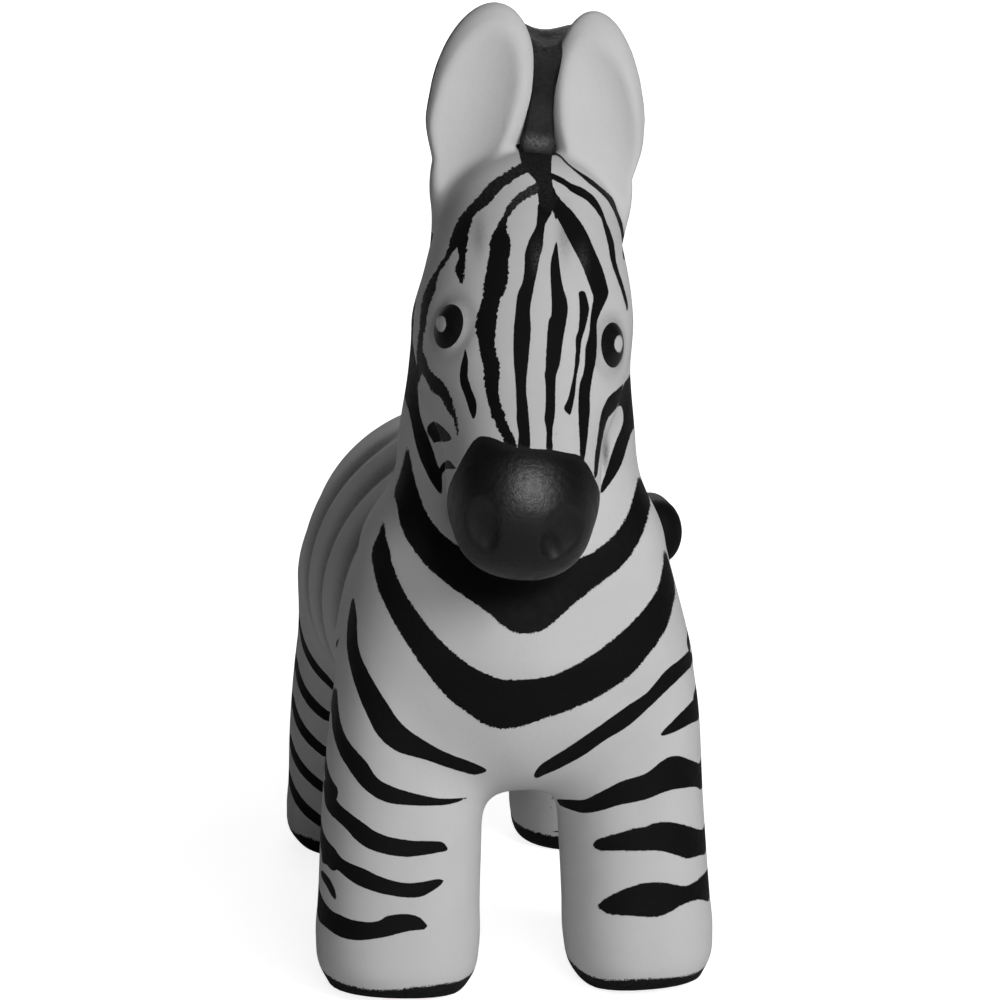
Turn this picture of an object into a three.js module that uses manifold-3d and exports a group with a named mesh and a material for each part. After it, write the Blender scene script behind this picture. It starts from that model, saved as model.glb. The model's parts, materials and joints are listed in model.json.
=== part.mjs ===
// Foam squeeze toy in the shape of a standing zebra.
// Millimetres, +Z up. The toy faces -Y, its own left side is +X and its soles stand on Z = 0.
import * as THREE from 'three';
import { mergeVertices } from 'three/addons/utils/BufferGeometryUtils.js';
import Module from 'manifold-3d';

const wasm = await Module();
wasm.setup();

// Clearance between neighbouring members
const GAP = 0.3;

// Torso: a barrel along Y with rounded chest and rump
const TORSO_LENGTH = 47;
const TORSO_FRONT = -16;
const TORSO_HEIGHT = 33.2;
const CHEST_WIDE = 18.8;
const CHEST_DEEP = 14.4;
const SHOULDER_WIDE = 18.5;
const SHOULDER_DEEP = 14.5;
const BELLY_WIDE = 19.1;
const BELLY_DEEP = 15.8;
const HAUNCH_WIDE = 19.8;
const HAUNCH_DEEP = 16.4;
const RUMP_WIDE = 17.7;
const RUMP_DEEP = 15.6;
const CHEST_ROUND = 10.7;
const RUMP_ROUND = 9;

// Neck: leans a little to the left side of the toy
const NECK_BACK = 8;
const NECK_SINK = 1.4;
const NECK_RISE = 19;
const NECK_SWEEP = 3;
const NECK_LEAN = 1.3;
const NECK_BASE_WIDE = 16.2;
const NECK_BASE_DEEP = 15.8;
const NECK_WAIST_AT = 0.45;
const NECK_WAIST_WIDE = 11.9;
const NECK_WAIST_DEEP = 13.5;
const NECK_TOP_WIDE = 11.2;
const NECK_TOP_DEEP = 11.6;
const NECK_ROOT = 10;
const NECK_CROWN = 8;
const NECK_NOD = 10;

// Head: tilted as a whole, drops forward to the muzzle
const HEAD_TILT = 7.5;
const HEAD_DROP = 35;
const HEAD_TURN = 1.5;
const HEAD_LENGTH = 25.6;
const HEAD_BACK = 2;
const HEAD_UP = 8;
const CROWN_WIDE = 9.6;
const CROWN_DEEP = 11;
const BROW_WIDE = 10.9;
const BROW_DEEP = 10.7;
const CHEEK_WIDE = 9.9;
const CHEEK_DEEP = 9.3;
const BRIDGE_WIDE = 8;
const BRIDGE_DEEP = 7.8;
const CROWN_ROUND = 8.5;
const BRIDGE_ROUND = 2.5;

// Muzzle: a rounded bulb on the end of the head
const MUZZLE_SET = 3.4;
const MUZZLE_LENGTH = 6;
const MUZZLE_SAG = 1;
const MUZZLE_WIDE = 7.6;
const MUZZLE_DEEP = 7.5;
const MUZZLE_ROUND = 5.2;

// Eyes: low domes set into the sides of the face
const EYE_ALONG = 16.3;
const EYE_ROUND_FACE = 34;
const EYE_WIDE = 2;
const EYE_TALL = 2.4;
const EYE_DEEP = 1.5;

// Ears: broad leaves, facing forward and a little outward, one on each side of the crest
const EAR_BACK = 1.2;
const EAR_UP = 8;
const EAR_STEM = 9.5;
const EAR_BASE_WIDE = 4.3;
const EAR_BASE_DEEP = 3.4;
const EAR_WIDE = 4.9;
const EAR_DEEP = 3;
const EAR_ROOT = 4.5;
const EAR_TIP = 8.2;
const EAR_OUT = 10;
const EAR_FOLD = 15;

// Mane: an upright crest from between the ears down the back of the neck
const CREST_THICK = 2.4;
const CREST_TALL = 13.5;
const CREST_FRONT = 3;
const MANE_THICK = 4.6;
const MANE_PROUD = 4;
const MANE_SINK = 2;
const MANE_FOOT = 8;

// Legs: stout columns, a little wider at the sole
const STANCE_WIDE = 12.2;
const FRONT_FOOT = -17;
const REAR_FOOT = 29;
const HIP_DROP = 9.2;
const HIP_SPREAD = 11.6;
const HIP_WIDE = 7.7;
const HIP_DEEP = 8.6;
const LEG_WIDE = 7.9;
const LEG_DEEP = 8;
const ANKLE_WIDE = 8.1;
const ANKLE_DEEP = 8.2;
const SOLE_WIDE = 7.3;
const SOLE_DEEP = 7.5;
const HIP_ROUND = 12;
const HOOF_TALL = 2.4;
const LEG_FLEX = 8;

// Tail: curls round the rump on to the left flank and ends in a tuft
const TAIL_RADIUS = 2.2;
const TUFT_LENGTH = 11;
const TUFT_WIDE = 3.7;
const TUFT_DEEP = 2.5;
const TUFT_PROUD = 0.1;
const TUFT_ROUND = 2.2;

// How finely the round members are faceted
const SIDES = 28;
const CAP_RINGS = 4;

const xAxis = new THREE.Vector3(1, 0, 0);

function radians(degrees) {
  return THREE.MathUtils.degToRad(degrees);
}

// One value between stations, by a cubic that passes through each of them
function between(stations, at, key) {
  let k = 0;
  while (k < stations.length - 2 && at > stations[k + 1].at) {
    k += 1;
  }
  const slope = (i) => {
    const a = stations[Math.max(i - 1, 0)];
    const b = stations[Math.min(i + 1, stations.length - 1)];
    return (b[key] - a[key]) / (b.at - a.at);
  };
  const p = stations[k];
  const q = stations[k + 1];
  const h = q.at - p.at;
  const s = THREE.MathUtils.clamp((at - p.at) / h, 0, 1);
  const s2 = s * s;
  const s3 = s2 * s;
  return (2 * s3 - 3 * s2 + 1) * p[key] + (s3 - 2 * s2 + s) * h * slope(k)
    + (3 * s2 - 2 * s3) * q[key] + (s3 - s2) * h * slope(k + 1);
}

// Rings of points, each ring joined to the next and both ends closed
function loft(rings, firstPole, lastPole) {
  const sides = rings[0].length;
  const points = [firstPole, ...rings.flat(), lastPole];
  const last = points.length - 1;
  const faces = [];
  for (let j = 0; j < sides; j += 1) {
    const next = (j + 1) % sides;
    faces.push(0, 1 + next, 1 + j);
    const end = last - sides;
    faces.push(last, end + j, end + next);
    for (let i = 0; i < rings.length - 1; i += 1) {
      const a = 1 + i * sides + j;
      const b = 1 + i * sides + next;
      faces.push(a, b, b + sides);
      faces.push(a, b + sides, a + sides);
    }
  }
  const geometry = new THREE.BufferGeometry();
  geometry.setAttribute('position', new THREE.Float32BufferAttribute(points.flatMap((p) => p.toArray()), 3));
  geometry.setIndex(faces);
  return geometry;
}

// A member that swells and tapers along a straight axis between two rounded ends
class Limb {
  constructor({
    start, end, across, stations, roundStart, roundEnd, sides = SIDES, steps = 10, level = false,
  }) {
    this.start = start;
    this.end = end;
    this.axis = end.clone().sub(start).normalize();
    this.length = end.distanceTo(start);
    // Rings stand square to the axis, or lie level when the member ends in a flat sole
    const slant = level ? 0 : across.dot(this.axis);
    this.wideWay = across.clone().addScaledVector(this.axis, -slant).normalize();
    this.deepWay = this.axis.clone().cross(this.wideWay).normalize();
    this.level = level;
    this.stations = stations;
    this.roundStart = roundStart;
    this.roundEnd = roundEnd;
    this.sides = sides;
    this.steps = steps;
  }

  // Point on the skin: distance along the axis, angle round it, and how far into a rounded end
  skin(along, turn, lift = 0, grow = 0) {
    const at = THREE.MathUtils.clamp(along, 0, this.length);
    const wide = between(this.stations, at, 'wide') + grow;
    const deep = between(this.stations, at, 'deep') + grow;
    const round = (along > this.length / 2 ? this.roundEnd : -this.roundStart);
    const reach = Math.sin(lift) * (round + Math.sign(round) * grow);
    return this.start.clone()
      .addScaledVector(this.axis, at + reach)
      .addScaledVector(this.wideWay, wide * Math.cos(lift) * Math.cos(turn))
      .addScaledVector(this.deepWay, deep * Math.cos(lift) * Math.sin(turn));
  }

  ring(along, lift, grow) {
    const points = [];
    for (let j = 0; j < this.sides; j += 1) {
      points.push(this.skin(along, (2 * Math.PI * j) / this.sides, lift, grow));
    }
    return points;
  }

  // The whole member, or only its stretch between two distances when an end is flat
  geometry({ grow = 0, from = 0, to = this.length, steps = this.steps, capRings = CAP_RINGS } = {}) {
    const rings = [];
    const cap = (i) => (Math.PI / 2) * (i / capRings);
    if (this.roundStart > 0 && from === 0) {
      for (let i = capRings - 1; i > 0; i -= 1) {
        rings.push(this.ring(0, cap(i), grow));
      }
    }
    for (let i = 0; i <= steps; i += 1) {
      rings.push(this.ring(from + ((to - from) * i) / steps, 0, grow));
    }
    if (this.roundEnd > 0 && to === this.length) {
      for (let i = 1; i < capRings; i += 1) {
        rings.push(this.ring(this.length, cap(i), grow));
      }
    }
    const roundFirst = this.roundStart > 0 && from === 0;
    const roundLast = this.roundEnd > 0 && to === this.length;
    const firstPole = roundFirst ? this.skin(0, 0, Math.PI / 2, grow) : this.centre(from);
    const lastPole = roundLast ? this.skin(this.length, 0, Math.PI / 2, grow) : this.centre(to);
    return loft(rings, firstPole, lastPole);
  }

  centre(along) {
    return this.start.clone().addScaledVector(this.axis, along);
  }

  // The room that the member needs while it swings both ways about a line along X at its start
  room(degrees) {
    const way = xAxis.clone().cross(this.axis).normalize().multiplyScalar(Math.tan(radians(degrees)));
    const wider = Math.abs(way.dot(this.wideWay));
    const deeper = Math.abs(way.dot(this.deepWay));
    const longer = 1 / Math.cos(radians(degrees));
    const root = this.stations[0];
    return new Limb({
      ...this,
      across: this.wideWay,
      stations: this.stations.map(({ at, wide, deep }) => (
        { at, wide: wide * longer + at * wider, deep: deep * longer + at * deeper }
      )),
      roundStart: this.roundStart + root.wide * wider + root.deep * deeper,
    }).geometry({ grow: GAP, capRings: 2 * CAP_RINGS });
  }
}

function solid(geometry) {
  const bare = geometry.clone();
  bare.deleteAttribute('normal');
  bare.deleteAttribute('uv');
  const merged = mergeVertices(bare, 1e-4);
  return new wasm.Manifold(new wasm.Mesh({
    numProp: 3,
    vertProperties: new Float32Array(merged.attributes.position.array),
    triVerts: new Uint32Array(merged.index.array),
  }));
}

function cut(piece, tools) {
  return tools.reduce((left, tool) => left.subtract(tool), piece);
}

function toGeometry(piece) {
  const mesh = piece.getMesh();
  const geometry = new THREE.BufferGeometry();
  const points = [];
  for (let i = 0; i < mesh.vertProperties.length; i += mesh.numProp) {
    points.push(mesh.vertProperties[i], mesh.vertProperties[i + 1], mesh.vertProperties[i + 2]);
  }
  geometry.setAttribute('position', new THREE.Float32BufferAttribute(points, 3));
  geometry.setIndex(Array.from(mesh.triVerts));
  return geometry;
}

const foam = { roughness: 0.7, metalness: 0 };
const white = new THREE.MeshStandardMaterial({ color: 0xe6e6e4, ...foam });
const black = new THREE.MeshStandardMaterial({ color: 0x1b1b1c, ...foam });
const eyeBlack = new THREE.MeshStandardMaterial({ color: 0x101011, roughness: 0.35, metalness: 0 });

const zebra = new THREE.Group();

function place(name, geometry, material) {
  const mesh = new THREE.Mesh(geometry, material);
  mesh.name = name;
  zebra.add(mesh);
  return mesh;
}

// Torso
const torso = new Limb({
  start: new THREE.Vector3(0, TORSO_FRONT, TORSO_HEIGHT),
  end: new THREE.Vector3(0, TORSO_FRONT + TORSO_LENGTH, TORSO_HEIGHT),
  across: xAxis,
  stations: [
    { at: 0, wide: CHEST_WIDE, deep: CHEST_DEEP },
    { at: TORSO_LENGTH * 0.22, wide: SHOULDER_WIDE, deep: SHOULDER_DEEP },
    { at: TORSO_LENGTH * 0.5, wide: BELLY_WIDE, deep: BELLY_DEEP },
    { at: TORSO_LENGTH * 0.8, wide: HAUNCH_WIDE, deep: HAUNCH_DEEP },
    { at: TORSO_LENGTH, wide: RUMP_WIDE, deep: RUMP_DEEP },
  ],
  roundStart: CHEST_ROUND,
  roundEnd: RUMP_ROUND,
  sides: 32,
  steps: 10,
});

// Neck: its rounded root turns in the torso
const neckPivot = new THREE.Vector3(0, TORSO_FRONT + NECK_BACK, TORSO_HEIGHT + CHEST_DEEP - NECK_SINK);
const neckTop = neckPivot.clone().add(new THREE.Vector3(NECK_LEAN, NECK_SWEEP, NECK_RISE));
const neck = new Limb({
  start: neckPivot,
  end: neckTop,
  across: xAxis,
  stations: [
    { at: 0, wide: NECK_BASE_WIDE, deep: NECK_BASE_DEEP },
    { at: neckPivot.distanceTo(neckTop) * NECK_WAIST_AT, wide: NECK_WAIST_WIDE, deep: NECK_WAIST_DEEP },
    { at: neckPivot.distanceTo(neckTop), wide: NECK_TOP_WIDE, deep: NECK_TOP_DEEP },
  ],
  roundStart: NECK_ROOT,
  roundEnd: NECK_CROWN,
  steps: 6,
});

// Head frame: everything on the head is set out from the top of the neck and tilted with it
const headFrame = new THREE.Matrix4().makeTranslation(neckTop)
  .multiply(new THREE.Matrix4().makeRotationY(radians(HEAD_TILT)));
const headAxis = new THREE.Vector3(
  -Math.sin(radians(HEAD_TURN)) * Math.cos(radians(HEAD_DROP)),
  -Math.cos(radians(HEAD_TURN)) * Math.cos(radians(HEAD_DROP)),
  -Math.sin(radians(HEAD_DROP)),
);
const headStart = new THREE.Vector3(0, HEAD_BACK, HEAD_UP);
const head = new Limb({
  start: headStart,
  end: headStart.clone().addScaledVector(headAxis, HEAD_LENGTH),
  across: xAxis,
  stations: [
    { at: 0, wide: CROWN_WIDE, deep: CROWN_DEEP },
    { at: HEAD_LENGTH * 0.4, wide: BROW_WIDE, deep: BROW_DEEP },
    { at: HEAD_LENGTH * 0.72, wide: CHEEK_WIDE, deep: CHEEK_DEEP },
    { at: HEAD_LENGTH, wide: BRIDGE_WIDE, deep: BRIDGE_DEEP },
  ],
  roundStart: CROWN_ROUND,
  roundEnd: BRIDGE_ROUND,
  steps: 8,
});
const headGrown = solid(head.geometry({ grow: GAP }).applyMatrix4(headFrame));

// Muzzle
const muzzleStart = head.centre(HEAD_LENGTH + MUZZLE_SET).addScaledVector(head.deepWay, -MUZZLE_SAG);
const muzzle = new Limb({
  start: muzzleStart,
  end: muzzleStart.clone().addScaledVector(headAxis, MUZZLE_LENGTH),
  across: xAxis,
  stations: [
    { at: 0, wide: MUZZLE_WIDE, deep: MUZZLE_DEEP },
    { at: MUZZLE_LENGTH, wide: MUZZLE_WIDE, deep: MUZZLE_DEEP },
  ],
  roundStart: MUZZLE_ROUND,
  roundEnd: MUZZLE_ROUND,
  sides: 24,
  steps: 3,
});
const muzzleSolid = solid(muzzle.geometry().applyMatrix4(headFrame)).subtract(headGrown);

// Eyes: ovals square to the skin they sit on
function eyeGeometry(side, grow) {
  const turn = side > 0 ? radians(EYE_ROUND_FACE) : Math.PI - radians(EYE_ROUND_FACE);
  const seat = head.skin(EYE_ALONG, turn);
  const small = 0.02;
  const alongWay = head.skin(EYE_ALONG + small, turn).sub(head.skin(EYE_ALONG - small, turn)).normalize();
  const roundWay = head.skin(EYE_ALONG, turn + small).sub(head.skin(EYE_ALONG, turn - small)).normalize();
  const outWay = alongWay.clone().cross(roundWay).normalize();
  if (outWay.dot(seat.clone().sub(head.centre(EYE_ALONG))) < 0) {
    outWay.negate();
  }
  const upWay = new THREE.Vector3(0, 0, 1).addScaledVector(outWay, -outWay.z).normalize();
  const sideWay = upWay.clone().cross(outWay);
  const pose = new THREE.Matrix4().makeBasis(sideWay, upWay, outWay).setPosition(seat);
  return new THREE.SphereGeometry(1, 16, 10)
    .scale(EYE_WIDE + grow, EYE_TALL + grow, EYE_DEEP + grow)
    .applyMatrix4(headFrame.clone().multiply(pose));
}

// Ears: their inner edges stand clear of the crest
const earSpread = CREST_THICK / 2 + GAP + EAR_WIDE * Math.cos(radians(EAR_OUT));
const earRooms = [];
for (const [name, side] of [['ear_left', 1], ['ear_right', -1]]) {
  const hinge = headStart.clone().add(new THREE.Vector3(side * earSpread, EAR_BACK, EAR_UP));
  const ear = new Limb({
    start: hinge,
    end: hinge.clone().add(new THREE.Vector3(0, 0, EAR_STEM)),
    across: new THREE.Vector3(Math.cos(radians(EAR_OUT)), side * Math.sin(radians(EAR_OUT)), 0),
    stations: [
      { at: 0, wide: EAR_BASE_WIDE, deep: EAR_BASE_DEEP },
      { at: EAR_STEM * 0.7, wide: EAR_WIDE, deep: EAR_DEEP },
      { at: EAR_STEM, wide: EAR_WIDE, deep: EAR_DEEP },
    ],
    roundStart: EAR_ROOT,
    roundEnd: EAR_TIP,
    sides: 20,
    steps: 4,
  });
  earRooms.push(solid(ear.room(EAR_FOLD).applyMatrix4(headFrame)));
  place(name, ear.geometry().applyMatrix4(headFrame), white);
}

const headSolid = cut(solid(head.geometry().applyMatrix4(headFrame)), [
  ...earRooms,
  solid(eyeGeometry(1, GAP)),
  solid(eyeGeometry(-1, GAP)),
]);
place('head', toGeometry(headSolid), white);
place('muzzle', toGeometry(muzzleSolid), black);
place('eye_left', eyeGeometry(1, 0), eyeBlack);
place('eye_right', eyeGeometry(-1, 0), eyeBlack);

// Mane: a blade that stands on the middle line of the neck and the head
const toHead = headFrame.clone().invert();
const waistBack = NECK_WAIST_DEEP + NECK_SWEEP * NECK_WAIST_AT;
const withers = neckPivot.clone().add(new THREE.Vector3(0, waistBack, MANE_FOOT)).applyMatrix4(toHead);
const nape = neckTop.clone().add(new THREE.Vector3(0, NECK_TOP_DEEP, 0)).applyMatrix4(toHead);
const poll = headStart.clone().add(new THREE.Vector3(0, 0, CROWN_DEEP));
const manePath = new THREE.CatmullRomCurve3([
  new THREE.Vector3(0, withers.y, withers.z),
  new THREE.Vector3(0, nape.y, nape.z),
  new THREE.Vector3(0, headStart.y + CROWN_ROUND, headStart.z + EAR_UP / 2),
  new THREE.Vector3(0, poll.y, poll.z),
  new THREE.Vector3(0, headStart.y - CREST_FRONT, poll.z),
]);
const maneLength = manePath.getLength();
const maneStations = [
  { at: 0, thick: MANE_THICK, proud: MANE_PROUD * 0.7 },
  { at: maneLength * 0.15, thick: MANE_THICK, proud: MANE_PROUD },
  { at: maneLength * 0.5, thick: MANE_THICK, proud: MANE_PROUD },
  { at: maneLength * 0.66, thick: (MANE_THICK + CREST_THICK) / 2, proud: (2 * MANE_PROUD + CREST_TALL) / 3 },
  { at: maneLength * 0.84, thick: CREST_THICK, proud: CREST_TALL },
  { at: maneLength, thick: CREST_THICK, proud: CREST_TALL },
];
function maneGeometry(grow) {
  const steps = 16;
  const sides = 16;
  const rings = [];
  for (let i = 0; i <= steps; i += 1) {
    const at = (maneLength * i) / steps;
    const foot = manePath.getPointAt(i / steps);
    const outWay = manePath.getTangentAt(i / steps).cross(xAxis);
    const half = between(maneStations, at, 'thick') / 2 + grow;
    const proud = between(maneStations, at, 'proud') + grow;
    const ring = [];
    for (let j = 0; j < sides; j += 1) {
      const a = (2 * Math.PI * j) / sides;
      const rise = (proud + MANE_SINK) / 2;
      ring.push(foot.clone()
        .addScaledVector(outWay, proud - rise + rise * Math.sin(a))
        .add(new THREE.Vector3(half * Math.sign(Math.cos(a)) * Math.sqrt(Math.abs(Math.cos(a))), 0, 0)));
    }
    rings.push(ring);
  }
  const first = rings[0].reduce((sum, p) => sum.add(p), new THREE.Vector3()).divideScalar(sides);
  const last = rings[steps].reduce((sum, p) => sum.add(p), new THREE.Vector3()).divideScalar(sides);
  return loft(rings, first, last).applyMatrix4(headFrame);
}
const neckGrown = solid(neck.geometry({ grow: GAP }));
const maneSolid = cut(solid(maneGeometry(0)), [neckGrown, headGrown]);
place('mane', toGeometry(maneSolid), black);

const muzzleGrown = solid(muzzle.geometry({ grow: GAP }).applyMatrix4(headFrame));
place('neck', toGeometry(cut(solid(neck.geometry()), [headGrown, muzzleGrown])), white);

// Legs and hooves
const legRooms = [];
for (const [end, y] of [['front', FRONT_FOOT], ['rear', REAR_FOOT]]) {
  for (const [hand, side] of [['left', 1], ['right', -1]]) {
    const hip = new THREE.Vector3(side * HIP_SPREAD, y, TORSO_HEIGHT - HIP_DROP);
    const sole = new THREE.Vector3(side * STANCE_WIDE, y, 0);
    const tall = hip.distanceTo(sole);
    const leg = new Limb({
      start: hip,
      end: sole,
      across: xAxis,
      stations: [
        { at: 0, wide: HIP_WIDE, deep: HIP_DEEP },
        { at: tall * 0.5, wide: LEG_WIDE, deep: LEG_DEEP },
        { at: tall - HOOF_TALL, wide: ANKLE_WIDE, deep: ANKLE_DEEP },
        { at: tall, wide: SOLE_WIDE, deep: SOLE_DEEP },
      ],
      roundStart: HIP_ROUND,
      roundEnd: 0,
      sides: 24,
      steps: 6,
      level: true,
    });
    legRooms.push(solid(leg.room(LEG_FLEX)));
    place(`leg_${end}_${hand}`, leg.geometry({ to: tall - HOOF_TALL }), white);
    place(`hoof_${end}_${hand}`, leg.geometry({ from: tall - HOOF_TALL + GAP, steps: 3 }), black);
  }
}

// Torso with room for the neck and the legs
const neckRoom = solid(neck.room(NECK_NOD));
place('torso', toGeometry(cut(solid(torso.geometry()), [neckRoom, ...legRooms])), white);

// Tail: follows the skin of the rump from the middle to the left flank
const quarter = Math.PI / 2;
const tailPath = new THREE.CatmullRomCurve3([
  torso.skin(TORSO_LENGTH, -quarter, quarter * 0.5),
  torso.skin(TORSO_LENGTH, -quarter * 0.55, quarter * 0.5),
  torso.skin(TORSO_LENGTH, -quarter * 0.2, quarter * 0.35),
  torso.skin(TORSO_LENGTH, -quarter * 0.08, quarter * 0.1),
  torso.skin(TORSO_LENGTH * 0.86, -quarter * 0.12),
]);
const tuftStart = torso.skin(TORSO_LENGTH * 0.82, -quarter * 0.12, 0, TUFT_PROUD);
const tuftEnd = torso.skin(TORSO_LENGTH * 0.82 - TUFT_LENGTH, -quarter * 0.22, 0, TUFT_PROUD);
const tuft = new Limb({
  start: tuftStart,
  end: tuftEnd,
  across: new THREE.Vector3(0, 0, 1),
  stations: [
    { at: 0, wide: TAIL_RADIUS, deep: TAIL_RADIUS },
    { at: TUFT_LENGTH * 0.55, wide: TUFT_WIDE, deep: TUFT_DEEP },
    { at: tuftStart.distanceTo(tuftEnd), wide: TUFT_WIDE * 0.8, deep: TUFT_DEEP * 0.8 },
  ],
  roundStart: TUFT_ROUND,
  roundEnd: TUFT_ROUND,
  sides: 16,
  steps: 6,
});
function tailGeometry() {
  const steps = 18;
  const sides = 12;
  const frames = tailPath.computeFrenetFrames(steps);
  const rings = [];
  for (let i = 0; i <= steps; i += 1) {
    const middle = tailPath.getPointAt(i / steps);
    const ring = [];
    for (let j = 0; j < sides; j += 1) {
      const a = (2 * Math.PI * j) / sides;
      ring.push(middle.clone()
        .addScaledVector(frames.normals[i], TAIL_RADIUS * Math.cos(a))
        .addScaledVector(frames.binormals[i], TAIL_RADIUS * Math.sin(a)));
    }
    rings.push(ring);
  }
  const root = tailPath.getPointAt(0).addScaledVector(tailPath.getTangentAt(0), -TAIL_RADIUS / 2);
  return loft(rings, root, tailPath.getPointAt(1));
}
const torsoGrown = solid(torso.geometry({ grow: GAP }));
const tuftSolid = cut(solid(tuft.geometry()), [torsoGrown, ...legRooms]);
place('tail_tuft', toGeometry(tuftSolid), black);
place('tail', toGeometry(cut(solid(tailGeometry()), [torsoGrown, solid(tuft.geometry({ grow: GAP })), ...legRooms])), white);

// The origin is the middle of the footprint of the whole toy, on the ground
const box = new THREE.Box3().setFromObject(zebra);
const middle = box.getCenter(new THREE.Vector3());
zebra.position.set(-middle.x, -middle.y, -box.min.z);

export default zebra;
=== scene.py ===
# %% [markdown]
# # A zebra squeeze toy
# The real thing is one soft moulding of polyurethane foam in a thin skin, sprayed white, with black
# stripes, muzzle, mane, tail tuft and soles painted on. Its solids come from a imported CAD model, and
# this lesson dresses them: one smooth foam skin over all the members, cut where the foam bends, then
# the paint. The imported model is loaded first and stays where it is. Everything below is worked out in
# millimetres from the toy's own middle on the table, and moves into the shared frame only at the end.

# %% Frame
import json
import math

import bpy
import numpy as np
from mathutils import Matrix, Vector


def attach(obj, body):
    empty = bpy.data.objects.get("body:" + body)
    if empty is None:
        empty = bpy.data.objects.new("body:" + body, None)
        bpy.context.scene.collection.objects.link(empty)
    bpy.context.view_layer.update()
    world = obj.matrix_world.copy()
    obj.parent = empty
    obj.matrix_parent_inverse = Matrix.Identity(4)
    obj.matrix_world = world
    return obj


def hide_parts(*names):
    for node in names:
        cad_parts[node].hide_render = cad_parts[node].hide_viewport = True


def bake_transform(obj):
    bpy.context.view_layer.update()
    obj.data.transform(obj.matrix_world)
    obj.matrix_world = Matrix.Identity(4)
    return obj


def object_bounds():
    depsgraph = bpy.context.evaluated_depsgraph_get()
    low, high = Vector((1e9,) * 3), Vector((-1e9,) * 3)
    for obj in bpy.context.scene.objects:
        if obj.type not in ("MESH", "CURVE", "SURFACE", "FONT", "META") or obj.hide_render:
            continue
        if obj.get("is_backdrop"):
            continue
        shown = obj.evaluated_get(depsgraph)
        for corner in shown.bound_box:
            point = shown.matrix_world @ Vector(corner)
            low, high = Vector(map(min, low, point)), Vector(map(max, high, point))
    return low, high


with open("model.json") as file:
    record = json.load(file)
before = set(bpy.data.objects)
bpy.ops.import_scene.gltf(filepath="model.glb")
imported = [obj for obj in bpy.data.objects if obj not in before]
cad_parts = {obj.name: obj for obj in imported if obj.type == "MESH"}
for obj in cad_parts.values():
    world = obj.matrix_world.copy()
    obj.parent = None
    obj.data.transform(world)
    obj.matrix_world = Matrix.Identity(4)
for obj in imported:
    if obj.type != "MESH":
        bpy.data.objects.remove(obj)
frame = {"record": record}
cad_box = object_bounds()
MM = 0.001
SOLES_MIDDLE = np.array([0.0, 6.0, 0.0])
soles = np.array([mount["pos_m"] for mount in frame["record"]["mounts"]]) / MM
SHIFT = soles.mean(axis=0) - SOLES_MIDDLE
bpy.context.scene.view_settings.view_transform = "Standard"
print("the toy's middle in the shared frame, mm:", SHIFT.round(3))

# %% [markdown]
# ## Camera
# The photograph looks down at the toy a little, from slightly to its right, through a long lens. The
# two pairs of soles stand on one table, and that fixes how high the camera is. The same view is used
# again for the stencils, because a toy like this is painted mostly from the front, so the camera's
# three directions are kept as plain arrays.

# %% Camera
VIEW_TURN, VIEW_RISE = math.radians(-6.0), math.radians(15.1)
VIEW_AWAY = 600.0
VIEW_AIM = np.array([0.0, 0.0, 45.8])
VIEW_LENS = 209.4
to_viewer = np.array([math.sin(VIEW_TURN) * math.cos(VIEW_RISE),
                      -math.cos(VIEW_TURN) * math.cos(VIEW_RISE), math.sin(VIEW_RISE)])
view_right = np.array([math.cos(VIEW_TURN), math.sin(VIEW_TURN), 0.0])
view_up = np.cross(to_viewer, view_right)
viewer = VIEW_AIM + to_viewer * VIEW_AWAY

camera_data = bpy.data.cameras.new("camera")
camera_data.lens, camera_data.sensor_width = VIEW_LENS, 36.0
camera_data.clip_start, camera_data.clip_end = 0.05, 10.0
camera = bpy.data.objects.new("camera", camera_data)
bpy.context.scene.collection.objects.link(camera)
placed = np.eye(4)
placed[:3, :3] = np.stack([view_right, view_up, to_viewer], axis=1)
placed[:3, 3] = (viewer + SHIFT) * MM
camera.matrix_world = Matrix(placed.tolist())
bpy.context.scene.camera = camera
print("camera at", np.round(placed[:3, 3], 3), "m")

# %% [markdown]
# ## Members as fields
# Foam is poured into one mould, so legs, neck and ears run into the body with soft fillets. Patches on
# grids would meet there in creases. So each member is written as a field instead: a function that is
# negative inside the foam, zero on its skin and positive outside. Fields join smoothly with one
# formula, and the skin is then found where the sum is zero.

# %% Field helpers
FAR = 8.0


def sections_at(along, stations):
    """Half sizes between stations (along, wide, deep): cubic pieces with the slopes of their
    neighbours."""
    place, size = stations[:, 0], stations[:, 1:]
    slope = np.gradient(size, place, axis=0, edge_order=1)
    along = np.clip(along, place[0], place[-1])
    k = np.clip(np.searchsorted(place, along, side="right") - 1, 0, len(place) - 2)
    gap = (place[k + 1] - place[k])[:, None]
    s = (along - place[k])[:, None] / gap
    return ((1 + 2 * s) * (1 - s) ** 2 * size[k] + s * (1 - s) ** 2 * gap * slope[k]
            + s * s * (3 - 2 * s) * size[k + 1] - s * s * (1 - s) * gap * slope[k + 1])


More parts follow.
